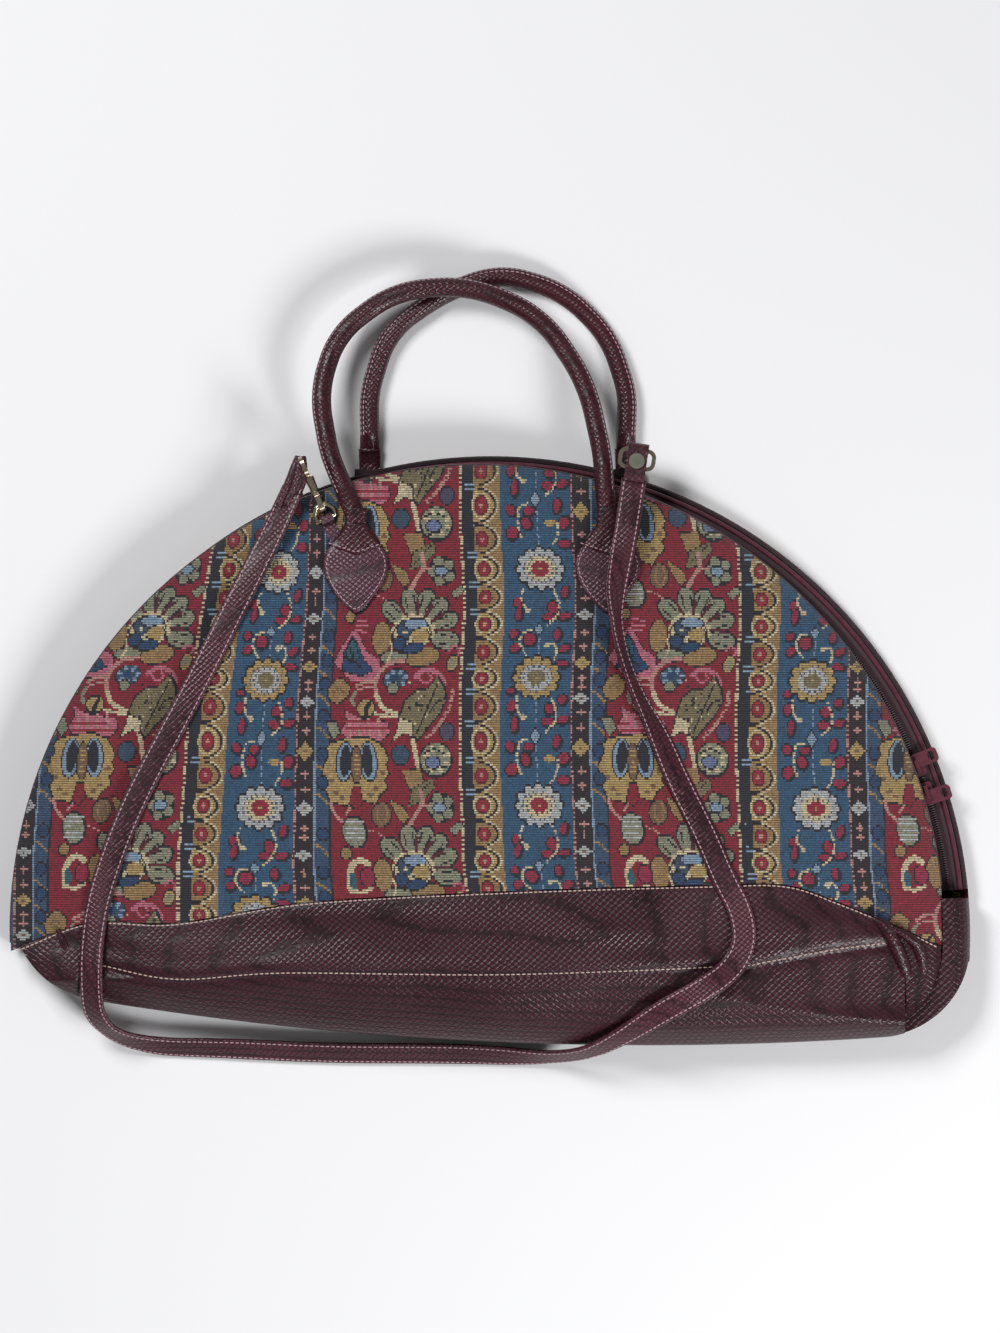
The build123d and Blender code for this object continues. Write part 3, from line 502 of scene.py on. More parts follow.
def borders():
    joints = [612.0, 638.5, 667.0, 691.5, 723.0, 760.0, 791.0, 820.0]
    for i, low in enumerate(joints):
        high = joints[(i + 1) % 8] + (TILE[1] if i == 7 else 0)
        middle, half = (low + high) / 2, (high - low) / 2
        dome = [(473 + 23 * math.cos(a), middle + half * math.sin(a)) for a in np.linspace(-1.57, 1.57, 15)]
        thread("cream", 2.0, [(473 + (x - 473) * 1.07, middle + (y - middle) * 1.04) for x, y in dome[2:-2]], 1.6)
        for ink, share in (("dark", 1.0), (("gold", "tan")[i % 2], 0.9)):
            patch(ink, [(473 + (x - 473) * share, middle + (y - middle) * share) for x, y in dome], 1, 0)
        if i % 2 == 0:
            blob("cream", 480.5, middle, 9.5, half * 0.74, line=0)
            blob("gold", 480.5, middle, 8, half * 0.64, line=0)
        blob("maroon", 481, middle, 6.8, half * 0.56, line=0)
        blob("crimson", 481, middle, 5.4, half * 0.46, line=0)
        blob("rose", 481, middle, 1.8, 2.4, line=0)
        for off in (-2.2, 2.2):
            thread("sky", 1.5, [(466, low + off), (474, low + off)])
    leaves = [(513, 604, 4, 4.5, 0), (514, 615, 3, 7, 8), (560, 594, 3.5, 6, 15), (548, 610, 4.5, 7, -15),
              (544, 619, 6, 3.5, 0), (560, 618, 6, 3, -10), (510, 635, 4, 4, 0), (512, 649, 5, 4, -35),
              (553, 636, 3.5, 5.5, 0), (561, 650, 5.5, 3.5, -25), (560, 665, 6, 3, 10), (526, 641, 6, 6, 0),
              (510, 692, 4, 3, 0), (511, 707, 4, 6, 15), (514, 725, 3, 8, 5), (561, 701, 4, 4.5, 0),
              (549, 710, 5, 5, 0), (547, 723, 6, 4, 10), (562, 721, 6, 3.5, -20), (510, 747, 4, 5.5, -30),
              (528, 748, 5, 4, 0), (525, 760, 4.5, 6, -20), (511, 770, 5.5, 6, 35), (556, 743, 3.5, 7, 10),
              (563, 760, 5, 6, 30), (562, 781, 6, 4, 0)]
    for x, y, rx, ry, turn in leaves:
        blob("navy", x + 1, y + 1, rx + 2, ry + 2, turn)
        blob("magenta", x, y, rx, ry, turn)
    for points in ([(549, 592), (554, 605), (552, 618), (543, 627)], [(519, 592), (517, 603), (524, 613)],
                   [(527, 632), (519, 635), (517, 645), (524, 656)], [(544, 647), (550, 646), (554, 653), (552, 661)],
                   [(516, 698), (517, 712), (524, 719)], [(551, 701), (555, 712), (554, 724), (544, 734)],
                   [(527, 741), (519, 744), (517, 762), (521, 776)], [(557, 761), (556, 774), (550, 784)]):
        thread("cream", 2.5, points, 2.2)
    for x, y in ((523, 612), (544, 647), (523, 718)):
        blob("cream", x, y, 3, 2.6)
    blob("gold", 549, 760, 6, 3.6)
    for y, ry in ((631, 5), (737, 8)):
        patch("sky", [(535, y - ry), (540, y), (535, y + ry), (530, y)])
    thread("sky", 1.5, [(536, 640), (536, 656)], 2)
    thread("sky", 1.5, [(536, 700), (536, 724)], 2)
    thread("sky", 1.5, [(536, 748), (537, 784)], 2)
    rosette(535, 679, "gold", "white", "olive")
    rosette(537, 806, "white", "cream", "crimson")
    for y, ink, ry in ((617, "white", 6), (665, "gold", 7), (700, "white", 6.5), (749, "gold", 10), (806, "white", 8)):
        patch(ink, [(580, y - ry), (584.5, y - ry / 2.2), (589, y), (584.5, y + ry / 2.2), (580, y + ry),
                    (575.5, y + ry / 2.2), (571, y), (575.5, y - ry / 2.2)])
        blob("brown", 580, y, 2, 1.2)
    for y in (600, 634.7, 649, 680, 688, 714, 729, 772, 787, 825):
        thread("rose", 2, [(577, y), (584, y)])
        thread("rose", 2, [(580.5, y - 3), (580.5, y + 3)])
    for y in (612, 650, 675, 698, 730, 768, 796):
        blob("deep", 598, y - 16, 5, 6)
        thread("tan", 2.8, [(592, y - 5), (597, y - 2), (604, y + 6)], 2.2)


def rosette(x, y, outer, ring, eye):
    flower("navy", x, y, (20, 17.6), 12, (5.6, 5.2), 0)
    flower(outer, x, y, (19, 16.8), 12, (4.4, 4.1), 0)
    blob(outer, x, y, 20, 17.6, line=0)
    flower("mauve", x, y, (16.4, 14.2), 20, (1.1, 0.8), 0)
    blob(ring, x, y, 15, 13, line=0)
    flower("slate", x, y, (12.6, 10.8), 14, (1.2, 0.9), 0)
    flower(eye, x, y, (6, 5), 8, (3.4, 2.9), 22)
    blob(eye, x, y, 5, 4, line=0)
    blob("gold", x, y, 1.8, 1.4, line=0)


redField()
borders()


# where each stripe starts and ends across the repeat, in pixels
STRIPES = ((458.5, 461.5, "cream"), (461.5, 475, "navy"), (475, 500, "tan"), (500, 570, "teal"), (570, 572, "rose"),
           (572, 589, "black"), (589, 590.8, "sky"), (590.8, 604, "blue"), (604, 606, "navy"))
# how far the slump carries the left stripes to the right, at each height
LEAN = {"y": (470, 540, 620, 700, 780, 860), "shift": (38, 30, 17, 6, 1, -5)}


def weaveColours(px, py):
    # px and py are places in the photograph's pixels; the cloth's slump bends the stripes a little
    middle = 4.5 * np.exp(-((py - 605) / 60)**2) + 3.5 * bump(py, 750, 850) + 5 * bump(py, 850, 910)
    left = np.interp(py, LEAN["y"], LEAN["shift"])
    share = bump(400 - px, 0, 190)
    u = px - middle * (1 - share) - left * share
    v = py + 2 * np.sin(px / 73)
    column = (u - 331) % TILE[0] + 331
    colours = np.empty((len(u), 3))
    colours[:] = INK["red"]
    random = np.random.default_rng(7)
    for low, high, ink in STRIPES:
        colours[(column >= low) & (column < high)] = INK[ink]
    dotted = (np.abs(column - 460) < 1.5) | (np.abs(column - 571) < 1)
    colours[dotted & (v % 5 < 1.6)] = INK["maroon"]
    for kind, ink, x, y, shape, tall in motifs:
        tallTile = TILE[1] * tall
        du = (u - x + TILE[0] / 2) % TILE[0] - TILE[0] / 2
        dv = (v - y + tallTile / 2) % tallTile - tallTile / 2
        if kind == "blob":
            rx, ry, turn = shape
            near = np.nonzero((np.abs(du) < max(rx, ry)) & (np.abs(dv) < max(rx, ry)))[0]
            a, b = du[near], dv[near]
            c, s = math.cos(turn), math.sin(turn)
            inside = ((a * c + b * s) / rx)**2 + ((b * c - a * s) / ry)**2 < 1
        elif kind == "patch":
            reach = np.abs(shape).max(0)
            near = np.nonzero((np.abs(du) <= reach[0]) & (np.abs(dv) <= reach[1]))[0]
            a, b = du[near], dv[near]
            inside = np.zeros(len(near), bool)
            for (x1, y1), (x2, y2) in zip(shape, np.roll(shape, -1, 0)):
                if y1 != y2:
                    crosses = (y1 > b) != (y2 > b)
                    inside ^= crosses & (a < (x2 - x1) * (b - y1) / (y2 - y1) + x1)
        else:
            points, width, dash = shape
            reach = np.abs(points).max(0) + width
            near = np.nonzero((np.abs(du) <= reach[0]) & (np.abs(dv) <= reach[1]))[0]
            a, b = du[near], dv[near]
            inside = np.zeros(len(near), bool)
            run = 0.0
            for (x1, y1), (x2, y2) in zip(points, points[1:]):
                length = math.hypot(x2 - x1, y2 - y1)
                t = np.clip(((a - x1) * (x2 - x1) + (b - y1) * (y2 - y1)) / max(length**2, 1e-9), 0, 1)
                hit = np.hypot(a - x1 - t * (x2 - x1), b - y1 - t * (y2 - y1)) < width / 2
                if dash:
                    hit &= (run + t * length) % (1.6 * dash) < dash
                inside |= hit
                run += length
        colours[near[inside]] = INK[ink]
    colours = colours * (1 + random.normal(0, 0.07, len(u)))[:, None]
    return np.clip(colours, 4, 250)


PITCH = {"row": 1.45, "column": 0.9}


def meshObject(name, vertices, faces, material, smooth=True):
    mesh = bpy.data.meshes.new(name)
    mesh.from_pydata([tuple(v) for v in np.asarray(vertices) * MM], [], [tuple(f) for f in faces])
    mesh.update()
    mesh.polygons.foreach_set("use_smooth", [smooth] * len(mesh.polygons))
    obj = bpy.data.objects.new(name, mesh)
    bpy.context.scene.collection.objects.link(obj)
    mesh.materials.append(material)
    return obj


CLOTH = {"side": 312, "low": -58, "lift": 0.35, "backLift": -0.3, "join": -9.6, "backColumn": 1.3}


def clothSkin(name, height, centre, radius, material, flip=False, lift=CLOTH["lift"],
              span=(-CLOTH["side"], CLOTH["side"]), stepX=PITCH["column"]):
    stepY = PITCH["row"]
    xs = np.arange(span[0], span[1] + stepX / 2, stepX)
    ys = np.arange(CLOTH["low"], CLOTH["side"], stepY)
    gridX, gridY = np.meshgrid(xs, ys)
    away = np.hypot(gridX - centre[0], gridY - centre[1])
    seamY = np.interp(gridX, topSeam[:, 0], topSeam[:, 1])
    inside = (away < radius) & (gridY > seamY)
    used = inside[:-1, :-1] | inside[1:, :-1] | inside[:-1, 1:] | inside[1:, 1:]
    x, y = gridX.copy(), gridY.copy()
    y = np.maximum(y, seamY)
    away = np.hypot(x - centre[0], y - centre[1])
    pull = np.minimum(1, radius / np.maximum(away, 1))
    x, y = centre[0] + (x - centre[0]) * pull, centre[1] + (y - centre[1]) * pull
    y = np.maximum(y, np.interp(x, topSeam[:, 0], topSeam[:, 1]))
    z = height(x, y) + lift
    number = -np.ones(gridX.shape, int)
    rows, columns = np.nonzero(used)
    corners = [(rows, columns), (rows, columns + 1), (rows + 1, columns + 1), (rows + 1, columns)]
    for r, c in corners:
        number[r, c] = 0
    keep = number == 0
    number[keep] = np.arange(keep.sum())
    vertices = np.stack([x[keep], y[keep], z[keep]], 1)
    faces = np.stack([number[r, c] for r, c in corners], 1)
    if flip:
        faces = faces[:, ::-1]
    obj = meshObject(name, vertices, faces.tolist(), material)
    middleX = xs[columns] + stepX / 2
    middleY = ys[rows] + stepY / 2
    return obj, middleX, middleY


def tapestryMaterial():
    paint = Paint("tapestry", INK["red"], 0.78, sheen=0.15)
    weave = paint.tree.nodes.new("ShaderNodeAttribute")
    weave.attribute_name = "weave"
    across = paint.axis("Y") * (math.pi / (PITCH["row"] * MM))
    rib = across.math("SINE").math("ABSOLUTE")
    fuzz = paint.noise(0.0012, 2.0, (0.7, 1.3, 1))
    # painted shade in the gaps between the weft ribs and a painted highlight on their crowns, with random fuzz in the
    # weave
    light = rib * 0.75 + 0.22 + (fuzz - 0.5) * 0.35
    paint.colour(paint.shade(light, weave.outputs["Color"]))
    crumple = paint.noise(0.05, 2.0)
    under = paint.emboss(crumple, 0.003, 0.35)
    paint.emboss(rib + fuzz * 0.5, 0.0006, 0.8, under)
    return paint.material


def paintWeave(obj, px, py):
    colours = weaveColours(px, py) / 255
    colours = np.where(colours <= 0.04045, colours / 12.92, ((colours + 0.055) / 1.055)**2.4)
    corners = np.repeat(np.hstack([colours, np.ones((len(colours), 1))]), 4, 0)
    layer = obj.data.color_attributes.new("weave", "FLOAT_COLOR", "CORNER")
    layer.data.foreach_set("color", corners.astype(np.float32).ravel())


tapestry = tapestryMaterial()


FRONT_HINGES, BACK_HINGES = (-86.0, 74.5), (-77.5, 86.3)


def frontFolds(x, y):
    # soft swells of the slumped cloth and puckers at the seam, kept low under the tabs and strap
    away = np.hypot(x - BODY["centre"][0], y - BODY["centre"][1])
    seam = y - np.interp(x, topSeam[:, 0], topSeam[:, 1])
    calm = 1 - np.exp(-((np.abs(x - nearTab(x)) / 42)**2 + ((y - 240) / 50)**2))
    swell = 0.9 + 0.9 * ripple(x, y, (150, 90, 55), 3)
    pucker = 1.1 * np.exp(-seam / 22) * (1 + np.sin(x / 7.5 + 2 * np.sin(x / 31)))
    right = np.exp(-((x - 225) / 60)**2 - ((y - 95) / 70)**2) * (1 + np.sin((x * 0.8 + y * 0.6) / 6.5)) * 1.2
    return (swell * calm + pucker + right) * bump(297.4 - away, 0, 16)


def nearTab(x):
    # the nearer of the two front tabs' middles
    return np.where(x < -5, *FRONT_HINGES)


def clothHeight(x, y):
    return frontHeight(x, y) + frontFolds(x, y)


for part, span in (("left", (-CLOTH["side"], CLOTH["join"])), ("right", (CLOTH["join"], CLOTH["side"]))):
    skin, middleX, middleY = clothSkin("front_tapestry_" + part, clothHeight, BODY["centre"], BODY["radius"] + 0.4,
                                       tapestry, span=span)
    paintWeave(skin, middleX / PHOTO["scale"] + PHOTO["x0"], PHOTO["y0"] - middleY / PHOTO["scale"])
    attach(skin, "bag")
    print("stage: front tapestry", part, len(skin.data.polygons))


def backHeight(x, y):
    lip = BACK["lip"]
    past = np.maximum(np.hypot(x, y) - (BACK["radius"] - lip), 0)
    return lip - np.sqrt(np.maximum(lip**2 - past**2, 0))


backSkin, middleX, middleY = clothSkin("back_tapestry", backHeight, (0, 0), BACK["radius"] + 0.3, tapestry, True,
                                       CLOTH["backLift"], stepX=CLOTH["backColumn"])
paintWeave(backSkin, PHOTO["backX"] - middleX / PHOTO["scale"], PHOTO["y0"] - middleY / PHOTO["scale"])
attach(backSkin, "bag")
print("stage: back tapestry")


# Leather band and base, laid over the panels with their folds

def outlineLow(x, centre, radius):
    # lowest y of the half-moon outline at each x
    base, reach, corner = np.array(BODY["baseCentre"]), BODY["baseRadius"], BODY["corner"]
    x = np.asarray(x, float)
    low = base[1] - np.sqrt(reach**2 - (x - base[0])**2)
    for side in (-1, 1):
        gap = np.array(centre) - base
        far = np.hypot(*gap)
        a = ((reach - corner)**2 - (radius - corner)**2 + far**2) / (2 * far)
        h = math.sqrt((reach - corner)**2 - a**2)
        unit = gap / far
        middle = base + unit * a + side * h * np.array([-unit[1], unit[0]])
        touch = base + (middle - base) * reach / (reach - corner)
        beyond = (x - touch[0]) * np.sign(middle[0]) > 0
        arc = middle[1] - np.sqrt(np.maximum(corner**2 - (x - middle[0])**2, 0))
        low = np.where(beyond, arc, low)
    return low


def leatherFolds(x, y):
    seamTop = np.interp(x, topSeam[:, 0], topSeam[:, 1])
    seamLow = np.interp(x, lowerSeam[:, 0], lowerSeam[:, 1])
    edge = bump(seamTop - y, 0, 14)
    swell = 1.6 * ripple(x, y, (170, 95, 60), 11)
    crease = -1.3 * np.exp(-((y - seamLow) / 3.2)**2) + 0.9 * np.exp(-((y - seamLow - 7) / 5)**2)
    hollow = -3.0 * np.exp(-((x - 98) / 52)**2 - ((y + 36 - 0.12 * (x - 95)) / 10)**2)
    ridge = 3.0 * np.exp(-((y + 57) / 9)**2) * bump(x, 40, 110)
    pocket = 2.4 * np.exp(-((x - 198) / 40)**2 - ((y - 4) / 12)**2)
    pocket = pocket - 2.0 * np.exp(-((x - 148) / 12)**2 - ((y - 4) / 20)**2)
    wave = 1.4 * np.exp(-((y - 12 + 0.10 * x) / 8)**2) * bump(x, -60, 10) * bump(130 - x, 0, 60)
    left = 1.8 * np.sin((x * 0.75 + y) / 9.5) * np.exp(-((x + 262) / 26)**2 - ((y + 12) / 26)**2)
    long = 1.2 * np.sin(y / 7.5 + x / 60) * np.exp(-((x + 120) / 90)**2)
    return 2.4 + edge * (swell + hollow + ridge + pocket + wave + left + long) + crease * bump(262 - abs(x), 0, 10)


def leatherSkin(name, xs, high, low, rows, skirt):
    # a sheet between two lines, with its lower edge turned down where skirt says
    t = np.linspace(0, 1, rows)
    x = np.repeat(xs[:, None], rows, 1)
    y = high[:, None] + (low - high)[:, None] * t
    start = 0.85 if skirt else 0.25
    edge = bump(t, 0, 0.06)[None, :] * (1 - start) + start
    z = frontHeight(x, y) + np.maximum(leatherFolds(x, y), 0.5) * edge
    if skirt:
        away = [(0.7, 0.86), (0.9, 0.5), (0.8, 0.02)]
        last = z[:, -1]
        x = np.hstack([x] + [xs[:, None]] * 3)
        y = np.hstack([y] + [(low - out)[:, None] for out, part in away])
        z = np.hstack([z] + [(last * part)[:, None] for out, part in away])
    columns, count = x.shape
    vertices = np.stack([x, y, z], 2).reshape(-1, 3)
    index = np.arange(columns * count).reshape(columns, count)
    faces = np.stack([index[:-1, :-1], index[:-1, 1:], index[1:, 1:], index[1:, :-1]], 2).reshape(-1, 4)
    obj = meshObject(name, vertices, faces.tolist(), leather)
    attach(obj, "bag")
    return obj


bandX = np.arange(-299, 287.01, 2.0)
bandTop = np.interp(bandX, topSeam[:, 0], topSeam[:, 1]) + 1.2
bandOut = outlineLow(bandX, BODY["centre"], BODY["radius"])
withBase = (bandX > -262) & (bandX < 264)
bandLow = np.where(withBase, np.interp(bandX, lowerSeam[:, 0], lowerSeam[:, 1]) - 0.5, bandOut)
leatherSkin("band_leather", bandX, bandTop, np.minimum(bandLow, bandTop), 28, False)
baseX = np.arange(-262, 264.01, 2.0)
leatherSkin("base_leather", baseX, np.interp(baseX, lowerSeam[:, 0], lowerSeam[:, 1]),
            outlineLow(baseX, (0, 0), BACK["radius"]), 34, True)


def taperedTube(name, points, radii, material, around=12, flat=1.0):
    line = smoothLine(points, 8)
    widths = np.interp(np.linspace(0, 1, len(line)), np.linspace(0, 1, len(radii)), radii)
    along = np.gradient(line, axis=0)
    along /= np.linalg.norm(along, axis=1)[:, None]
    side = np.cross(along, (0, 0, 1.0))
    side /= np.linalg.norm(side, axis=1)[:, None]
    up = np.cross(side, along)
    turns = np.linspace(0, 2 * math.pi, around, endpoint=False)
    vertices = np.array([line + (side * math.cos(a) + up * math.sin(a) * flat) * widths[:, None] for a in turns])
    vertices = vertices.transpose(1, 0, 2).reshape(-1, 3)
    faces = [(i * around + j, i * around + (j + 1) % around, (i + 1) * around + (j + 1) % around,
              (i + 1) * around + j) for i in range(len(line) - 1) for j in range(around)]
    faces += [tuple(range(around))[::-1], tuple((len(line) - 1) * around + j for j in range(around))]
    return meshObject(name, vertices, faces, material)


def photoPoint(px, py, z):
    return ((px - PHOTO["x0"]) * PHOTO["scale"], (PHOTO["y0"] - py) * PHOTO["scale"], z)


for name, points, radii in (
    ("right_pleat_inner", [(871, 917, 48), (882, 924, 47), (893, 943, 43), (903, 968, 36), (906, 990, 29),
                           (904, 1018, 22)], (1.5, 3.5, 4.5, 4.5, 4, 2.5)),
    ("right_pleat_outer", [(890, 927, 45), (905, 935, 42), (917, 948, 37), (921, 972, 32), (915, 1000, 28)],
     (1.5, 3, 4, 4, 2.5)),
    ("left_pleat", [(60, 928, 39), (67, 944, 38), (73, 962, 34), (77, 982, 28)], (1.5, 3, 3.2, 1.5)),
):
    fold = taperedTube(name, [photoPoint(*p) for p in points], radii, foldLeather)
    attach(fold, "bag")
print("stage: leather")


# Stitches, coil teeth and other pieces that follow a line

ROW = {"Pitch": 0.003, "Length": 0.0022, "Width": 0.0009, "Height": 0.0007, "Turn": 0.0}


def rowTree():
    tree = bpy.data.node_groups.new("rowOfPieces", "GeometryNodeTree")
    face, add = tree.interface, tree.nodes.new
    face.new_socket("Geometry", in_out="INPUT", socket_type="NodeSocketGeometry")
    for name, value in ROW.items():
        face.new_socket(name, in_out="INPUT", socket_type="NodeSocketFloat").default_value = value
    face.new_socket("Material", in_out="INPUT", socket_type="NodeSocketMaterial")
    face.new_socket("Geometry", in_out="OUTPUT", socket_type="NodeSocketGeometry")

    def link(source, output, target, name):
        tree.links.new(source.outputs[output], target.inputs[name])

    enter, leave = add("NodeGroupInput"), add("NodeGroupOutput")
    curve = add("GeometryNodeMeshToCurve")
    link(enter, "Geometry", curve, "Mesh")
    resample = add("GeometryNodeResampleCurve")
    resample.mode = "LENGTH"
    link(curve, "Curve", resample, "Curve")
    link(enter, "Pitch", resample, "Length")
    ball = add("GeometryNodeMeshUVSphere")
    for name, value in (("Segments", 8), ("Rings", 5), ("Radius", 0.5)):
        ball.inputs[name].default_value = value
    size = add("ShaderNodeCombineXYZ")
    for name, axis in (("Length", "X"), ("Width", "Y"), ("Height", "Z")):
        link(enter, name, size, axis)
    tangent = add("GeometryNodeInputTangent")
    along = add("FunctionNodeAlignRotationToVector")
    along.axis = "X"
    link(tangent, 0, along, "Vector")
    facing = add("GeometryNodeInputNamedAttribute")
    facing.data_type = "FLOAT_VECTOR"
    facing.inputs["Name"].default_value = "facing"
    upright = add("FunctionNodeAlignRotationToVector")
    upright.axis = "Z"
    upright.pivot_axis = "X"
    link(along, 0, upright, "Rotation")
    link(facing, "Attribute", upright, "Vector")
    spin = add("FunctionNodeAxisAngleToRotation")
    link(enter, "Turn", spin, "Angle")
    turned = add("FunctionNodeRotateRotation")
    turned.rotation_space = "LOCAL"
    link(upright, 0, turned, "Rotation")
    link(spin, 0, turned, "Rotate By")
    place = add("GeometryNodeInstanceOnPoints")
    link(resample, "Curve", place, "Points")
    link(ball, "Mesh", place, "Instance")
    link(turned, 0, place, "Rotation")
    link(size, 0, place, "Scale")
    real = add("GeometryNodeRealizeInstances")
    link(place, "Instances", real, "Geometry")
    paint = add("GeometryNodeSetMaterial")
    link(real, "Geometry", paint, "Geometry")
    link(enter, "Material", paint, "Material")
    link(paint, "Geometry", leave, "Geometry")
    return tree


rows = rowTree()


def rowOfPieces(name, lines, body, material, pitch=3.0, length=2.3, width=0.9, height=0.7, turn=0.0):
    # lines is a list of (points, normals), in millimetres
    vertices, edges, normals = [], [], []
    for points, facing in lines:
        points = np.asarray(points, float)
        facing = np.broadcast_to(np.asarray(facing, float), points.shape)
        start = len(vertices)
        vertices += [tuple(p * MM) for p in points]
        normals.append(facing)
        edges += [(start + i, start + i + 1) for i in range(len(points) - 1)]
    mesh = bpy.data.meshes.new(name)
    mesh.from_pydata(vertices, edges, [])
    layer = mesh.attributes.new("facing", "FLOAT_VECTOR", "POINT")
    layer.data.foreach_set("vector", np.vstack(normals).astype(np.float32).ravel())
    obj = bpy.data.objects.new(name, mesh)
    bpy.context.scene.collection.objects.link(obj)
    modifier = obj.modifiers.new("rows", "NODES")
    modifier.node_group = rows
    values = {"Pitch": pitch * MM, "Length": length * MM, "Width": width * MM, "Height": height * MM,
              "Turn": turn, "Material": material}
    for item in rows.interface.items_tree:
        if item.in_out == "INPUT" and item.name in values:
            modifier[item.identifier] = values[item.name]
    bpy.context.view_layer.update()
    made = bpy.data.meshes.new_from_object(obj.evaluated_get(bpy.context.evaluated_depsgraph_get()))
    obj.modifiers.remove(modifier)
    obj.data = made
    made.name = name
    made.polygons.foreach_set("use_smooth", [True] * len(made.polygons))
    if body:
        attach(obj, body)
    return obj


def onFront(points, lift=0.5, limit=292.0):
    points = np.asarray(points, float)
    away = np.hypot(points[:, 0] - BODY["centre"][0], points[:, 1] - BODY["centre"][1])
    points = points[away < limit]
    z = frontHeight(points[:, 0], points[:, 1]) + lift
    return np.column_stack([points, z])


def onLeather(points, lift=0.25, limit=292.0):
    points = onFront(points, 0, limit)
    points[:, 2] += np.maximum(leatherFolds(points[:, 0], points[:, 1]), 0.5) + lift
    return points


SEAMS = {"topInset": 1.4, "topLift": 2.65, "lowInset": 2.0, "lowEnd": 258}
COIL = {"start": 5.7, "end": 181.3, "radius": 293, "height": 14.7, "points": 900}
topLine = onFront(topSeam - (0, SEAMS["topInset"]), 0, 293)
topLine[:, 2] += SEAMS["topLift"]
rowOfPieces("top_seam_stitches", [(topLine, (0, 0, 1))], "bag", creamThread, 3.1, 2.7, 0.95, 0.9)
lowLine = lowerSeam[np.abs(lowerSeam[:, 0]) < SEAMS["lowEnd"]]
rowOfPieces("lower_seam_stitches", [(onLeather(lowLine + (0, SEAMS["lowInset"])), (0, 0, 1))], "bag", creamThread,
            3.4, 2.8, 0.9, 0.8)
coilAngles = np.radians(np.linspace(COIL["start"], COIL["end"], COIL["points"]))
coilLine = np.column_stack([COIL["radius"] * np.cos(coilAngles), COIL["radius"] * np.sin(coilAngles),
                            np.full(COIL["points"], COIL["height"])])
rowOfPieces("zip_coil_turns", [(coilLine, (0, 0, 1))], "bag", coilPlastic, 1.5, 1.15, 7.0, 1.8, 0.0)
print("stage: stitches and coil")


# Strap

STRAP = {"width": 16.0, "thickness": 2.5, "stitchOffset": 6.0}
strapRoute = [(-126.0, 285, 40.5), (-137, 260, 40.5), (-161, 214, 41.8), (-193, 150, 45.5), (-228, 86, 45.7),
              (-247, 35, 44.8), (-253.4, 3.2, 44), (-255, -27, 45.5), (-253, -56, 29), (-224, -71, 6.0),
              (-167, -72.3, 5.9), (-103, -75.5, 5.9), (-30, -75.5, 5.9), (8, -77, 6.1), (36, -78, 10),
              (62, -75, 27), (85, -63, 43), (108, -48, 56), (136, -33, 60.5), (154, -20, 54.2), (162, -3, 53.5),
              (159, 17, 53.8), (148.5, 36, 54.6), (137, 64, 54.8), (118, 101, 54.6), (106, 129, 54.6),
              (92, 155, 57.0), (81, 186, 57.2), (78, 214, 56.2), (82, 238, 51), (87, 262, 48.6), (91.0, 291.2, 48.1)]
# the way each point's flat side faces
strapFacing = [(-0.45, 0.1, 0.85), (-0.2, 0.1, 0.95), (0, 0, 1), (0, 0, 1), (0, 0, 1), (-0.2, 0, 1), (-0.4, 0, 1),
               (-0.5, -0.4, 0.9), (-0.3, -0.9, 0.5), (0, -0.7, 0.7), (0, -0.6, 0.8), (0, -0.6, 0.8), (0, -0.6, 0.8),
               (0, -0.7, 0.7), (0, -0.9, 0.5), (0.1, -0.9, 0.5), (0.1, -0.7, 0.7), (0, -0.3, 1), (0, 0, 1), (0, 0, 1),
               (0.1, 0, 1), (0, 0, 1), (0, 0, 1), (0, 0, 1), (0.1, 0, 1), (0.4, 0.1, 0.9), (0.8, 0.2, 0.5),
               (0.9, 0.1, 0.35), (0.85, 0, 0.45), (0.4, 0, 0.9), (0, 0, 1), (0, -0.18, 1)]


def nurbsPoints(points, steps):
    data = bpy.data.curves.new("route", "CURVE")
    data.dimensions = "3D"
    spline = data.splines.new("NURBS")
    spline.points.add(len(points) - 1)
    for point, place in zip(spline.points, points):
        point.co = (*place, 1)
    spline.order_u = 3
    spline.use_endpoint_u = True
    spline.resolution_u = steps
    obj = bpy.data.objects.new("route", data)
    bpy.context.scene.collection.objects.link(obj)
    bpy.context.view_layer.update()
    mesh = bpy.data.meshes.new_from_object(obj.evaluated_get(bpy.context.evaluated_depsgraph_get()))
    found = np.array([v.co for v in mesh.vertices])
    bpy.data.objects.remove(obj)
    bpy.data.meshes.remove(mesh)
    return found


def ribbon(name, line, facing, width, thickness, material, roundSteps=3):
    along = np.gradient(line, axis=0)
    along /= np.linalg.norm(along, axis=1)[:, None]
    facing = facing - (facing * along).sum(1)[:, None] * along
    facing /= np.linalg.norm(facing, axis=1)[:, None]
    side = np.cross(along, facing)
    half, edge = width / 2, thickness / 2
    section = []
    for start, sign in ((-90, 1), (90, -1)):
        for a in np.linspace(-90, 90, 2 * roundSteps + 1):
            r = math.radians(a)
            section.append((sign * (half - edge + edge * math.cos(r)), sign * edge * math.sin(r)))
    count = len(section)
    vertices = np.array([line + side * s + facing * t for s, t in section]).transpose(1, 0, 2).reshape(-1, 3)
    faces = []
    for i in range(len(line) - 1):
        for j in range(count):
            k = (j + 1) % count
            faces.append((i * count + j, i * count + k, (i + 1) * count + k, (i + 1) * count + j))
    faces.append(tuple(range(count))[::-1])
    faces.append(tuple((len(line) - 1) * count + j for j in range(count)))
    return meshObject(name, vertices, faces, material), side, facing


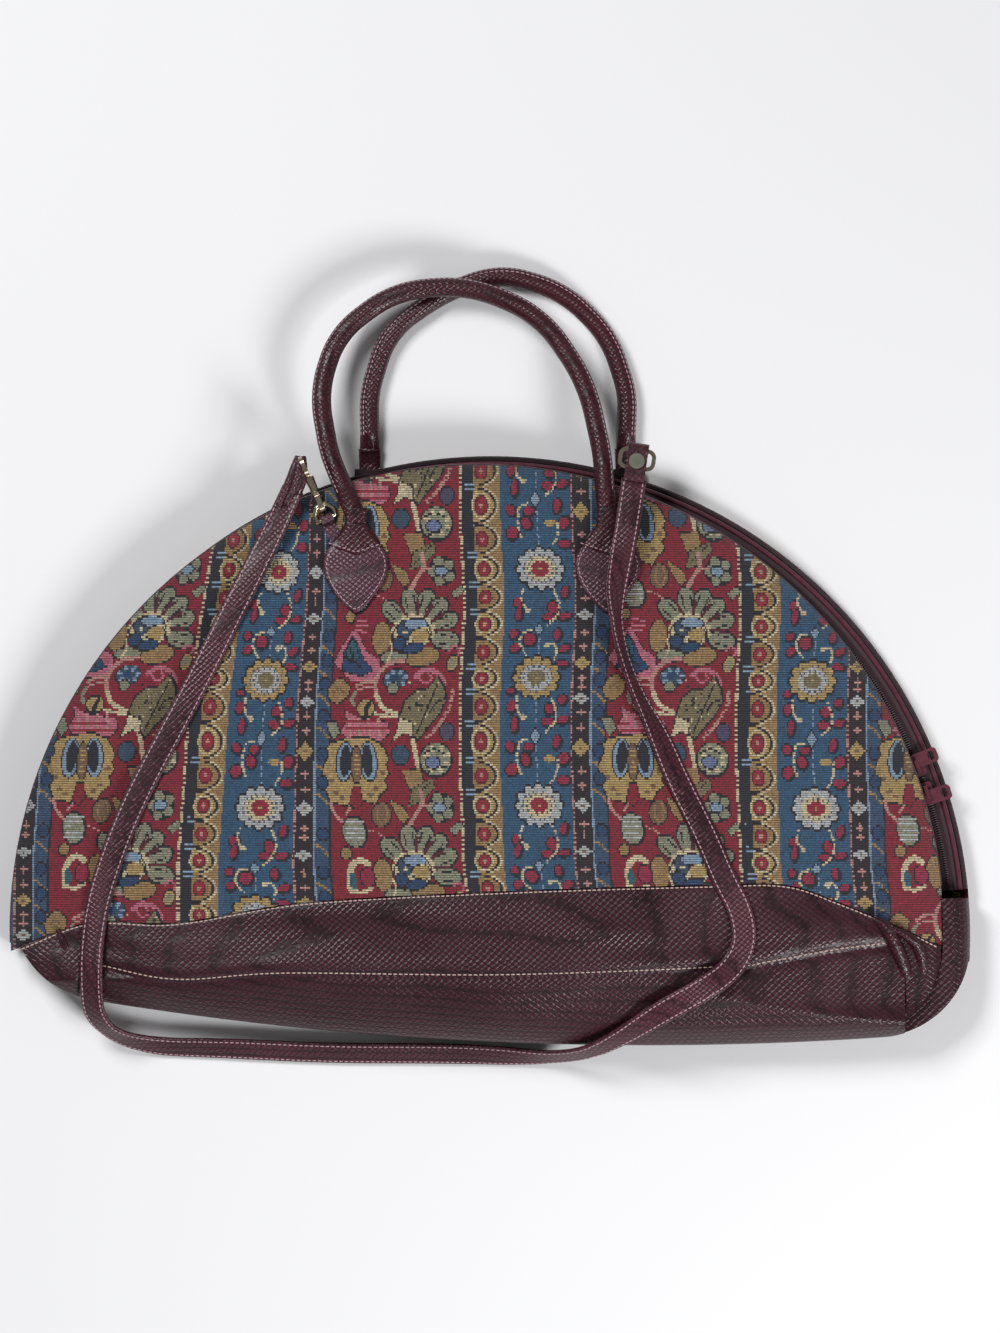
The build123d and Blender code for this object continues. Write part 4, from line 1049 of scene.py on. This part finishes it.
strapLine = nurbsPoints(strapRoute, 10)
knots = np.linspace(0, 1, len(strapFacing))
strapTurn = np.column_stack([np.interp(np.linspace(0, 1, len(strapLine)), knots, np.array(strapFacing)[:, i])
                             for i in range(3)])
strap, strapSide, strapUp = ribbon("strap_leather", strapLine, strapTurn, STRAP["width"], STRAP["thickness"],
                                   strapLeather)
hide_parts("strap")
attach(strap, "bag")
strapLines = [(strapLine + strapSide * s * STRAP["stitchOffset"] + strapUp * STRAP["thickness"] / 2, strapUp)
              for s in (-1, 1)]
rowOfPieces("strap_stitches", strapLines, "bag", paleThread, 3.4, 2.8, 0.9, 0.7)


PLEATS = ((-4.4, 0.0), (0.2, 1.2), (4.6, 0.4))  # how far each is shifted to the side, and raised
for i, (shift, height) in enumerate(PLEATS):
    line = [(-121.3 + shift * 0.3, 305.5, 40 + height), (-122.5 + shift * 0.6, 298, 41.5 + height),
            (-125 + shift * 0.9, 288, 41 + height), (-131 + shift, 274, 41.4 + height * 0.5)]
    fold = taperedTube("strap_pleat_%d" % i, line, (2.2, 2.9, 2.9, 2.2), strapLeather, 12, 0.85)
    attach(fold, "bag")
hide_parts("strap_end_left")


# Handle hinges, feet, and the stitches on tabs and handles

def softStrip(name, stations, material, power=3.0, around=24):
    stations = smoothLine(stations, 6)
    turns = np.linspace(0, 2 * math.pi, around, endpoint=False)
    c, t = np.cos(turns), np.sin(turns)
    shapeX = np.sign(c) * np.abs(c)**(2 / power) / 2
    shapeZ = np.sign(t) * np.abs(t)**(2 / power) / 2
    vertices = []
    for x, y, z, width, high in stations:
        vertices += [(x + width * a, y, z + high * b) for a, b in zip(shapeX, shapeZ)]
    count = len(stations)
    faces = [(i * around + j, (i + 1) * around + j, (i + 1) * around + (j + 1) % around,
              i * around + (j + 1) % around) for i in range(count - 1) for j in range(around)]
    faces += [tuple(range(around)), tuple((count - 1) * around + j for j in range(around))[::-1]]
    return meshObject(name, vertices, faces, material)


# each station along a hinge is y, z, width and height
FRONT_HINGE = [(254, 40.0, 15, 4.5), (260, 40.2, 14.2, 5.4), (266, 40.3, 13.9, 6.2), (273, 39.7, 14.2, 8.8)]
BACK_HINGE = [(295, 3.0, 13.6, 5.5), (299, 3.05, 13.6, 5.6), (303, 3.4, 13.8, 6.0), (311, 4.7, 14.4, 9.0)]
for end, stations, places, start, stop, z in (
    ("front", FRONT_HINGE, FRONT_HINGES, 0.263, 0.269, 0.0403),
    ("back", BACK_HINGE, BACK_HINGES, 0.299, 0.306, 0.0032),
):
    for side, x in zip(("left", "right"), places):
        hinge = softStrip("%s_hinge_%s" % (end, side), [(x, *station) for station in stations], tubeLeather)
        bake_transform(hinge)


TAB = {"y": 240.0, "thick": 3.7, "stitchInset": 2.4, "stitchEnd": 250}


def tabTop(hingeX, x, y, lift=0.0):
    # a point on a front tab's upper face
    middle = np.array([hingeX, TAB["y"], float(frontHeight(hingeX, TAB["y"]))])
    normal = middle - (*BODY["centre"], BODY["crown"] - BODY["dome"])
    normal = normal / np.linalg.norm(normal)
    z = middle[2] - (normal[0] * (np.asarray(x) - middle[0]) + normal[1] * (np.asarray(y) - TAB["y"])) / normal[2]
    return z + TAB["thick"] / normal[2] + lift


def tabFoot(name, hingeX, material):
    # the handle's flattened end, spread over its tab and sewn down along a V
    columns, count = 25, 18
    vertices = []
    for s in np.linspace(0, 1, count):
        half = 17.5 + (7.0 - 17.5) * (s**0.75)
        for u in np.linspace(-1, 1, columns):
            low = 243.0 + 6.0 * abs(u)
            x, y = hingeX + u * half, low + s * (263.0 - low)
            high = (0.7 + 3.6 * s**1.3) * (1 - abs(u)**3)**0.5 + 0.25 * math.sin(u * 9) * (1 - s) + 0.15
            vertices.append((x, y, float(tabTop(hingeX, x, y)) + high))
    top = len(vertices)
    vertices += [(x, y, z - 4.5) for x, y, z in vertices]
    faces = []
    for i in range(count - 1):
        for j in range(columns - 1):
            a = i * columns + j
            faces.append((a, a + 1, a + 1 + columns, a + columns))
            faces.append((top + a, top + a + columns, top + a + 1 + columns, top + a + 1))
    rim = [(0, j) for j in range(columns)] + [(i, columns - 1) for i in range(1, count)]
    rim += [(count - 1, j) for j in range(columns - 2, -1, -1)] + [(i, 0) for i in range(count - 2, 0, -1)]
    ring = [i * columns + j for i, j in rim]
    faces += [(b, a, top + a, top + b) for a, b in zip(ring, ring[1:] + ring[:1])]
    return meshObject(name, vertices, faces, material)


SHIELD = [(-16, 250), (-20.3, 242), (-20.8, 234), (-17.5, 224), (-10.5, 214), (-3.5, 207), (-0.5, 205.6), (3, 207.2),
          (9.5, 214), (16.5, 223.5), (20.6, 233), (20.4, 242), (16, 250), (8.5, 260)]


def shield(hingeX, inset):
    line = smoothLine(SHIELD + [(-8.5, 260), (-16, 250)], 5)[:-1] - (0, 232)
    return line * (1 - inset / 21) + (hingeX, 232)


def shieldTab(name, hingeX):
    rings = []
    for inset, drop in ((2.0, 0.0), (0.8, 0.25), (0.1, 0.9), (0.0, 3.4)):
        line = shield(hingeX, inset)
        rings.append(np.column_stack([line, tabTop(hingeX, line[:, 0], line[:, 1], -drop)]))
    count = len(rings[0])
    faces = [tuple(range(count))]
    for i in range(3):
        low, high = i * count, (i + 1) * count
        faces += [(low + j, high + j, high + (j + 1) % count, low + (j + 1) % count) for j in range(count)]
    faces.append(tuple(3 * count + j for j in range(count))[::-1])
    return meshObject(name, np.vstack(rings), faces, tabLeather)


def denser(points, step=1.0):
    points = np.array(points, float)
    run = np.concatenate([[0], np.cumsum(np.linalg.norm(np.diff(points, axis=0), axis=1))])
    at = np.linspace(0, run[-1], max(int(run[-1] / step), 2))
    return np.column_stack([np.interp(at, run, points[:, i]) for i in range(points.shape[1])])


for side, x in zip(("left", "right"), FRONT_HINGES):
    tab = shieldTab("shield_tab_" + side, x)
    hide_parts("front_tab_" + side)
    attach(tab, "bag")
    foot = tabFoot("handle_foot_" + side, x, tubeLeather)
    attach(foot, "bag")
    around = denser(shield(x, TAB["stitchInset"]))
    around = around[around[:, 1] < TAB["stitchEnd"]]
    lines = [(np.column_stack([around, tabTop(x, around[:, 0], around[:, 1], 0.15)]), (0, 0, 1))]
    vee = denser([(x - 16.5, 250.2), (x, 244.8), (x + 16.5, 250.2)])
    lines.append((np.column_stack([vee, tabTop(x, vee[:, 0], vee[:, 1], 1.25)]), (0, 0, 1)))
    rowOfPieces("tab_stitches_" + side, lines, "bag", paleThread, 2.9, 2.4, 0.8, 0.7)


def roundedRoute(points, share=0.45, steps=10):
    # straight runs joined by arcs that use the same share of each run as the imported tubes
    points = np.array(points, float)
    line = [points[0]]
    for before, point, after in zip(points, points[1:], points[2:]):
        into, out = point - before, after - point
        reach = share * min(np.linalg.norm(into), np.linalg.norm(out))
        a, b = into / np.linalg.norm(into), out / np.linalg.norm(out)
        weight = math.cos(math.acos(np.clip(a @ b, -1, 1)) / 2)
        start, end = point - a * reach, point + b * reach
        for t in np.linspace(0, 1, steps):
            parts = np.array([(1 - t)**2, 2 * t * (1 - t) * weight, t * t])
            line.append((parts[0] * start + parts[1] * point + parts[2] * end) / parts.sum())
    line.append(points[-1])
    return denser(line, 2.0)


def tubeLine(points, droop, hingeY, hingeZ, angle):
    # a line along a handle's surface, angle degrees round from its top towards its outside
    lean, radius = math.radians(droop), HANDLE["radius"]
    flat = roundedRoute([(x, (y - hingeY) / math.cos(lean)) for x, y in points])
    along = np.gradient(flat, axis=0)
    along /= np.linalg.norm(along, axis=1)[:, None]
    outward = np.column_stack([-along[:, 1], along[:, 0]])
    a = math.radians(angle)
    flat = flat + outward * radius * math.sin(a)
    up = radius * math.cos(a)
    x, v = flat[:, 0], flat[:, 1]
    place = np.column_stack([x, hingeY + v * math.cos(lean) + up * math.sin(lean),
                             hingeZ - v * math.sin(lean) + up * math.cos(lean)])
    facing = np.column_stack([outward[:, 0] * math.sin(a), outward[:, 1] * math.sin(a), np.full(len(x), math.cos(a))])
    return place, facing


FRONT_LOOP = [(-93.5, 285), (-103, 307), (-110, 347), (-98, 384), (-62, 411.5), (-14, 415.5), (32, 396), (61, 353),
              (71, 307), (72.5, 285)]
BACK_LOOP = [(-77.5, 321), (-78, 346), (-66, 386), (-30, 411), (6, 423.5), (46, 412), (75.5, 383), (87.5, 346),
             (86.3, 321)]
HANDLE = {"radius": 6.25, "droop": 8.2, "y": 266.0, "z": 40.3, "backY": 302.5, "backZ": 6.4}
rowOfPieces("front_handle_stitches", [tubeLine(FRONT_LOOP, HANDLE["droop"], HANDLE["y"], HANDLE["z"], 52)],
            "front_handle", paleThread, 3.3, 2.6, 0.8, 0.7)
rowOfPieces("back_handle_stitches", [tubeLine(BACK_LOOP, 0, HANDLE["backY"], HANDLE["backZ"], a) for a in (38, 62)],
            "back_handle", paleThread, 3.3, 2.6, 0.8, 0.7)
print("stage: handles and tabs")


# Camera, light and floor

def setCamera():
    camera = bpy.data.cameras.new("camera")
    camera.sensor_fit = "VERTICAL"
    camera.sensor_height = 24.0
    distance = 8.0
    tall = PHOTO["height"] * PHOTO["scale"] * MM
    camera.lens = 24.0 * distance / tall
    camera.clip_end = 50
    holder = bpy.data.objects.new("camera", camera)
    bpy.context.scene.collection.objects.link(holder)
    holder.location = ((PHOTO["width"] / 2 - PHOTO["x0"]) * PHOTO["scale"] * MM,
                       (PHOTO["y0"] - PHOTO["height"] / 2) * PHOTO["scale"] * MM, distance)
    bpy.context.scene.camera = holder


def addLight(name, place, target, size, power):
    data = bpy.data.lights.new(name, "AREA")
    data.shape = "SQUARE"
    data.size = size
    data.energy = power
    obj = bpy.data.objects.new(name, data)
    obj.location = place
    obj.rotation_euler = (Vector(target) - Vector(place)).to_track_quat("-Z", "Y").to_euler()
    bpy.context.scene.collection.objects.link(obj)
    obj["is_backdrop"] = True


def setStage():
    scene = bpy.context.scene
    scene.view_settings.view_transform = "Standard"
    world = bpy.data.worlds.new("world")
    world.use_nodes = True
    world.node_tree.nodes["Background"].inputs["Color"].default_value = (1, 1, 1, 1)
    world.node_tree.nodes["Background"].inputs["Strength"].default_value = 0.2
    scene.world = world
    bpy.ops.mesh.primitive_plane_add(size=8, location=(0, 0, -0.0006))
    floor = bpy.context.object
    floor.name = "floor"
    floor.data.materials.append(Paint("floor", (226, 226, 228), 0.9).material)
    floor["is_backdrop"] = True
    addLight("key", (-1.2, 1.4, 2.2), (0, 0.1, 0), 0.9, 54)
    addLight("low", (1.2, -1.3, 1.4), (0.1, 0, 0), 0.7, 44)


setCamera()
setStage()
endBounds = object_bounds()


def plainList(value):
    if hasattr(value, "__len__"):
        return [plainList(v) for v in value]
    return round(float(value), 6)


{"start": plainList(startBounds), "end": plainList(endBounds)}
print("stage: bounds", plainList(startBounds), plainList(endBounds))
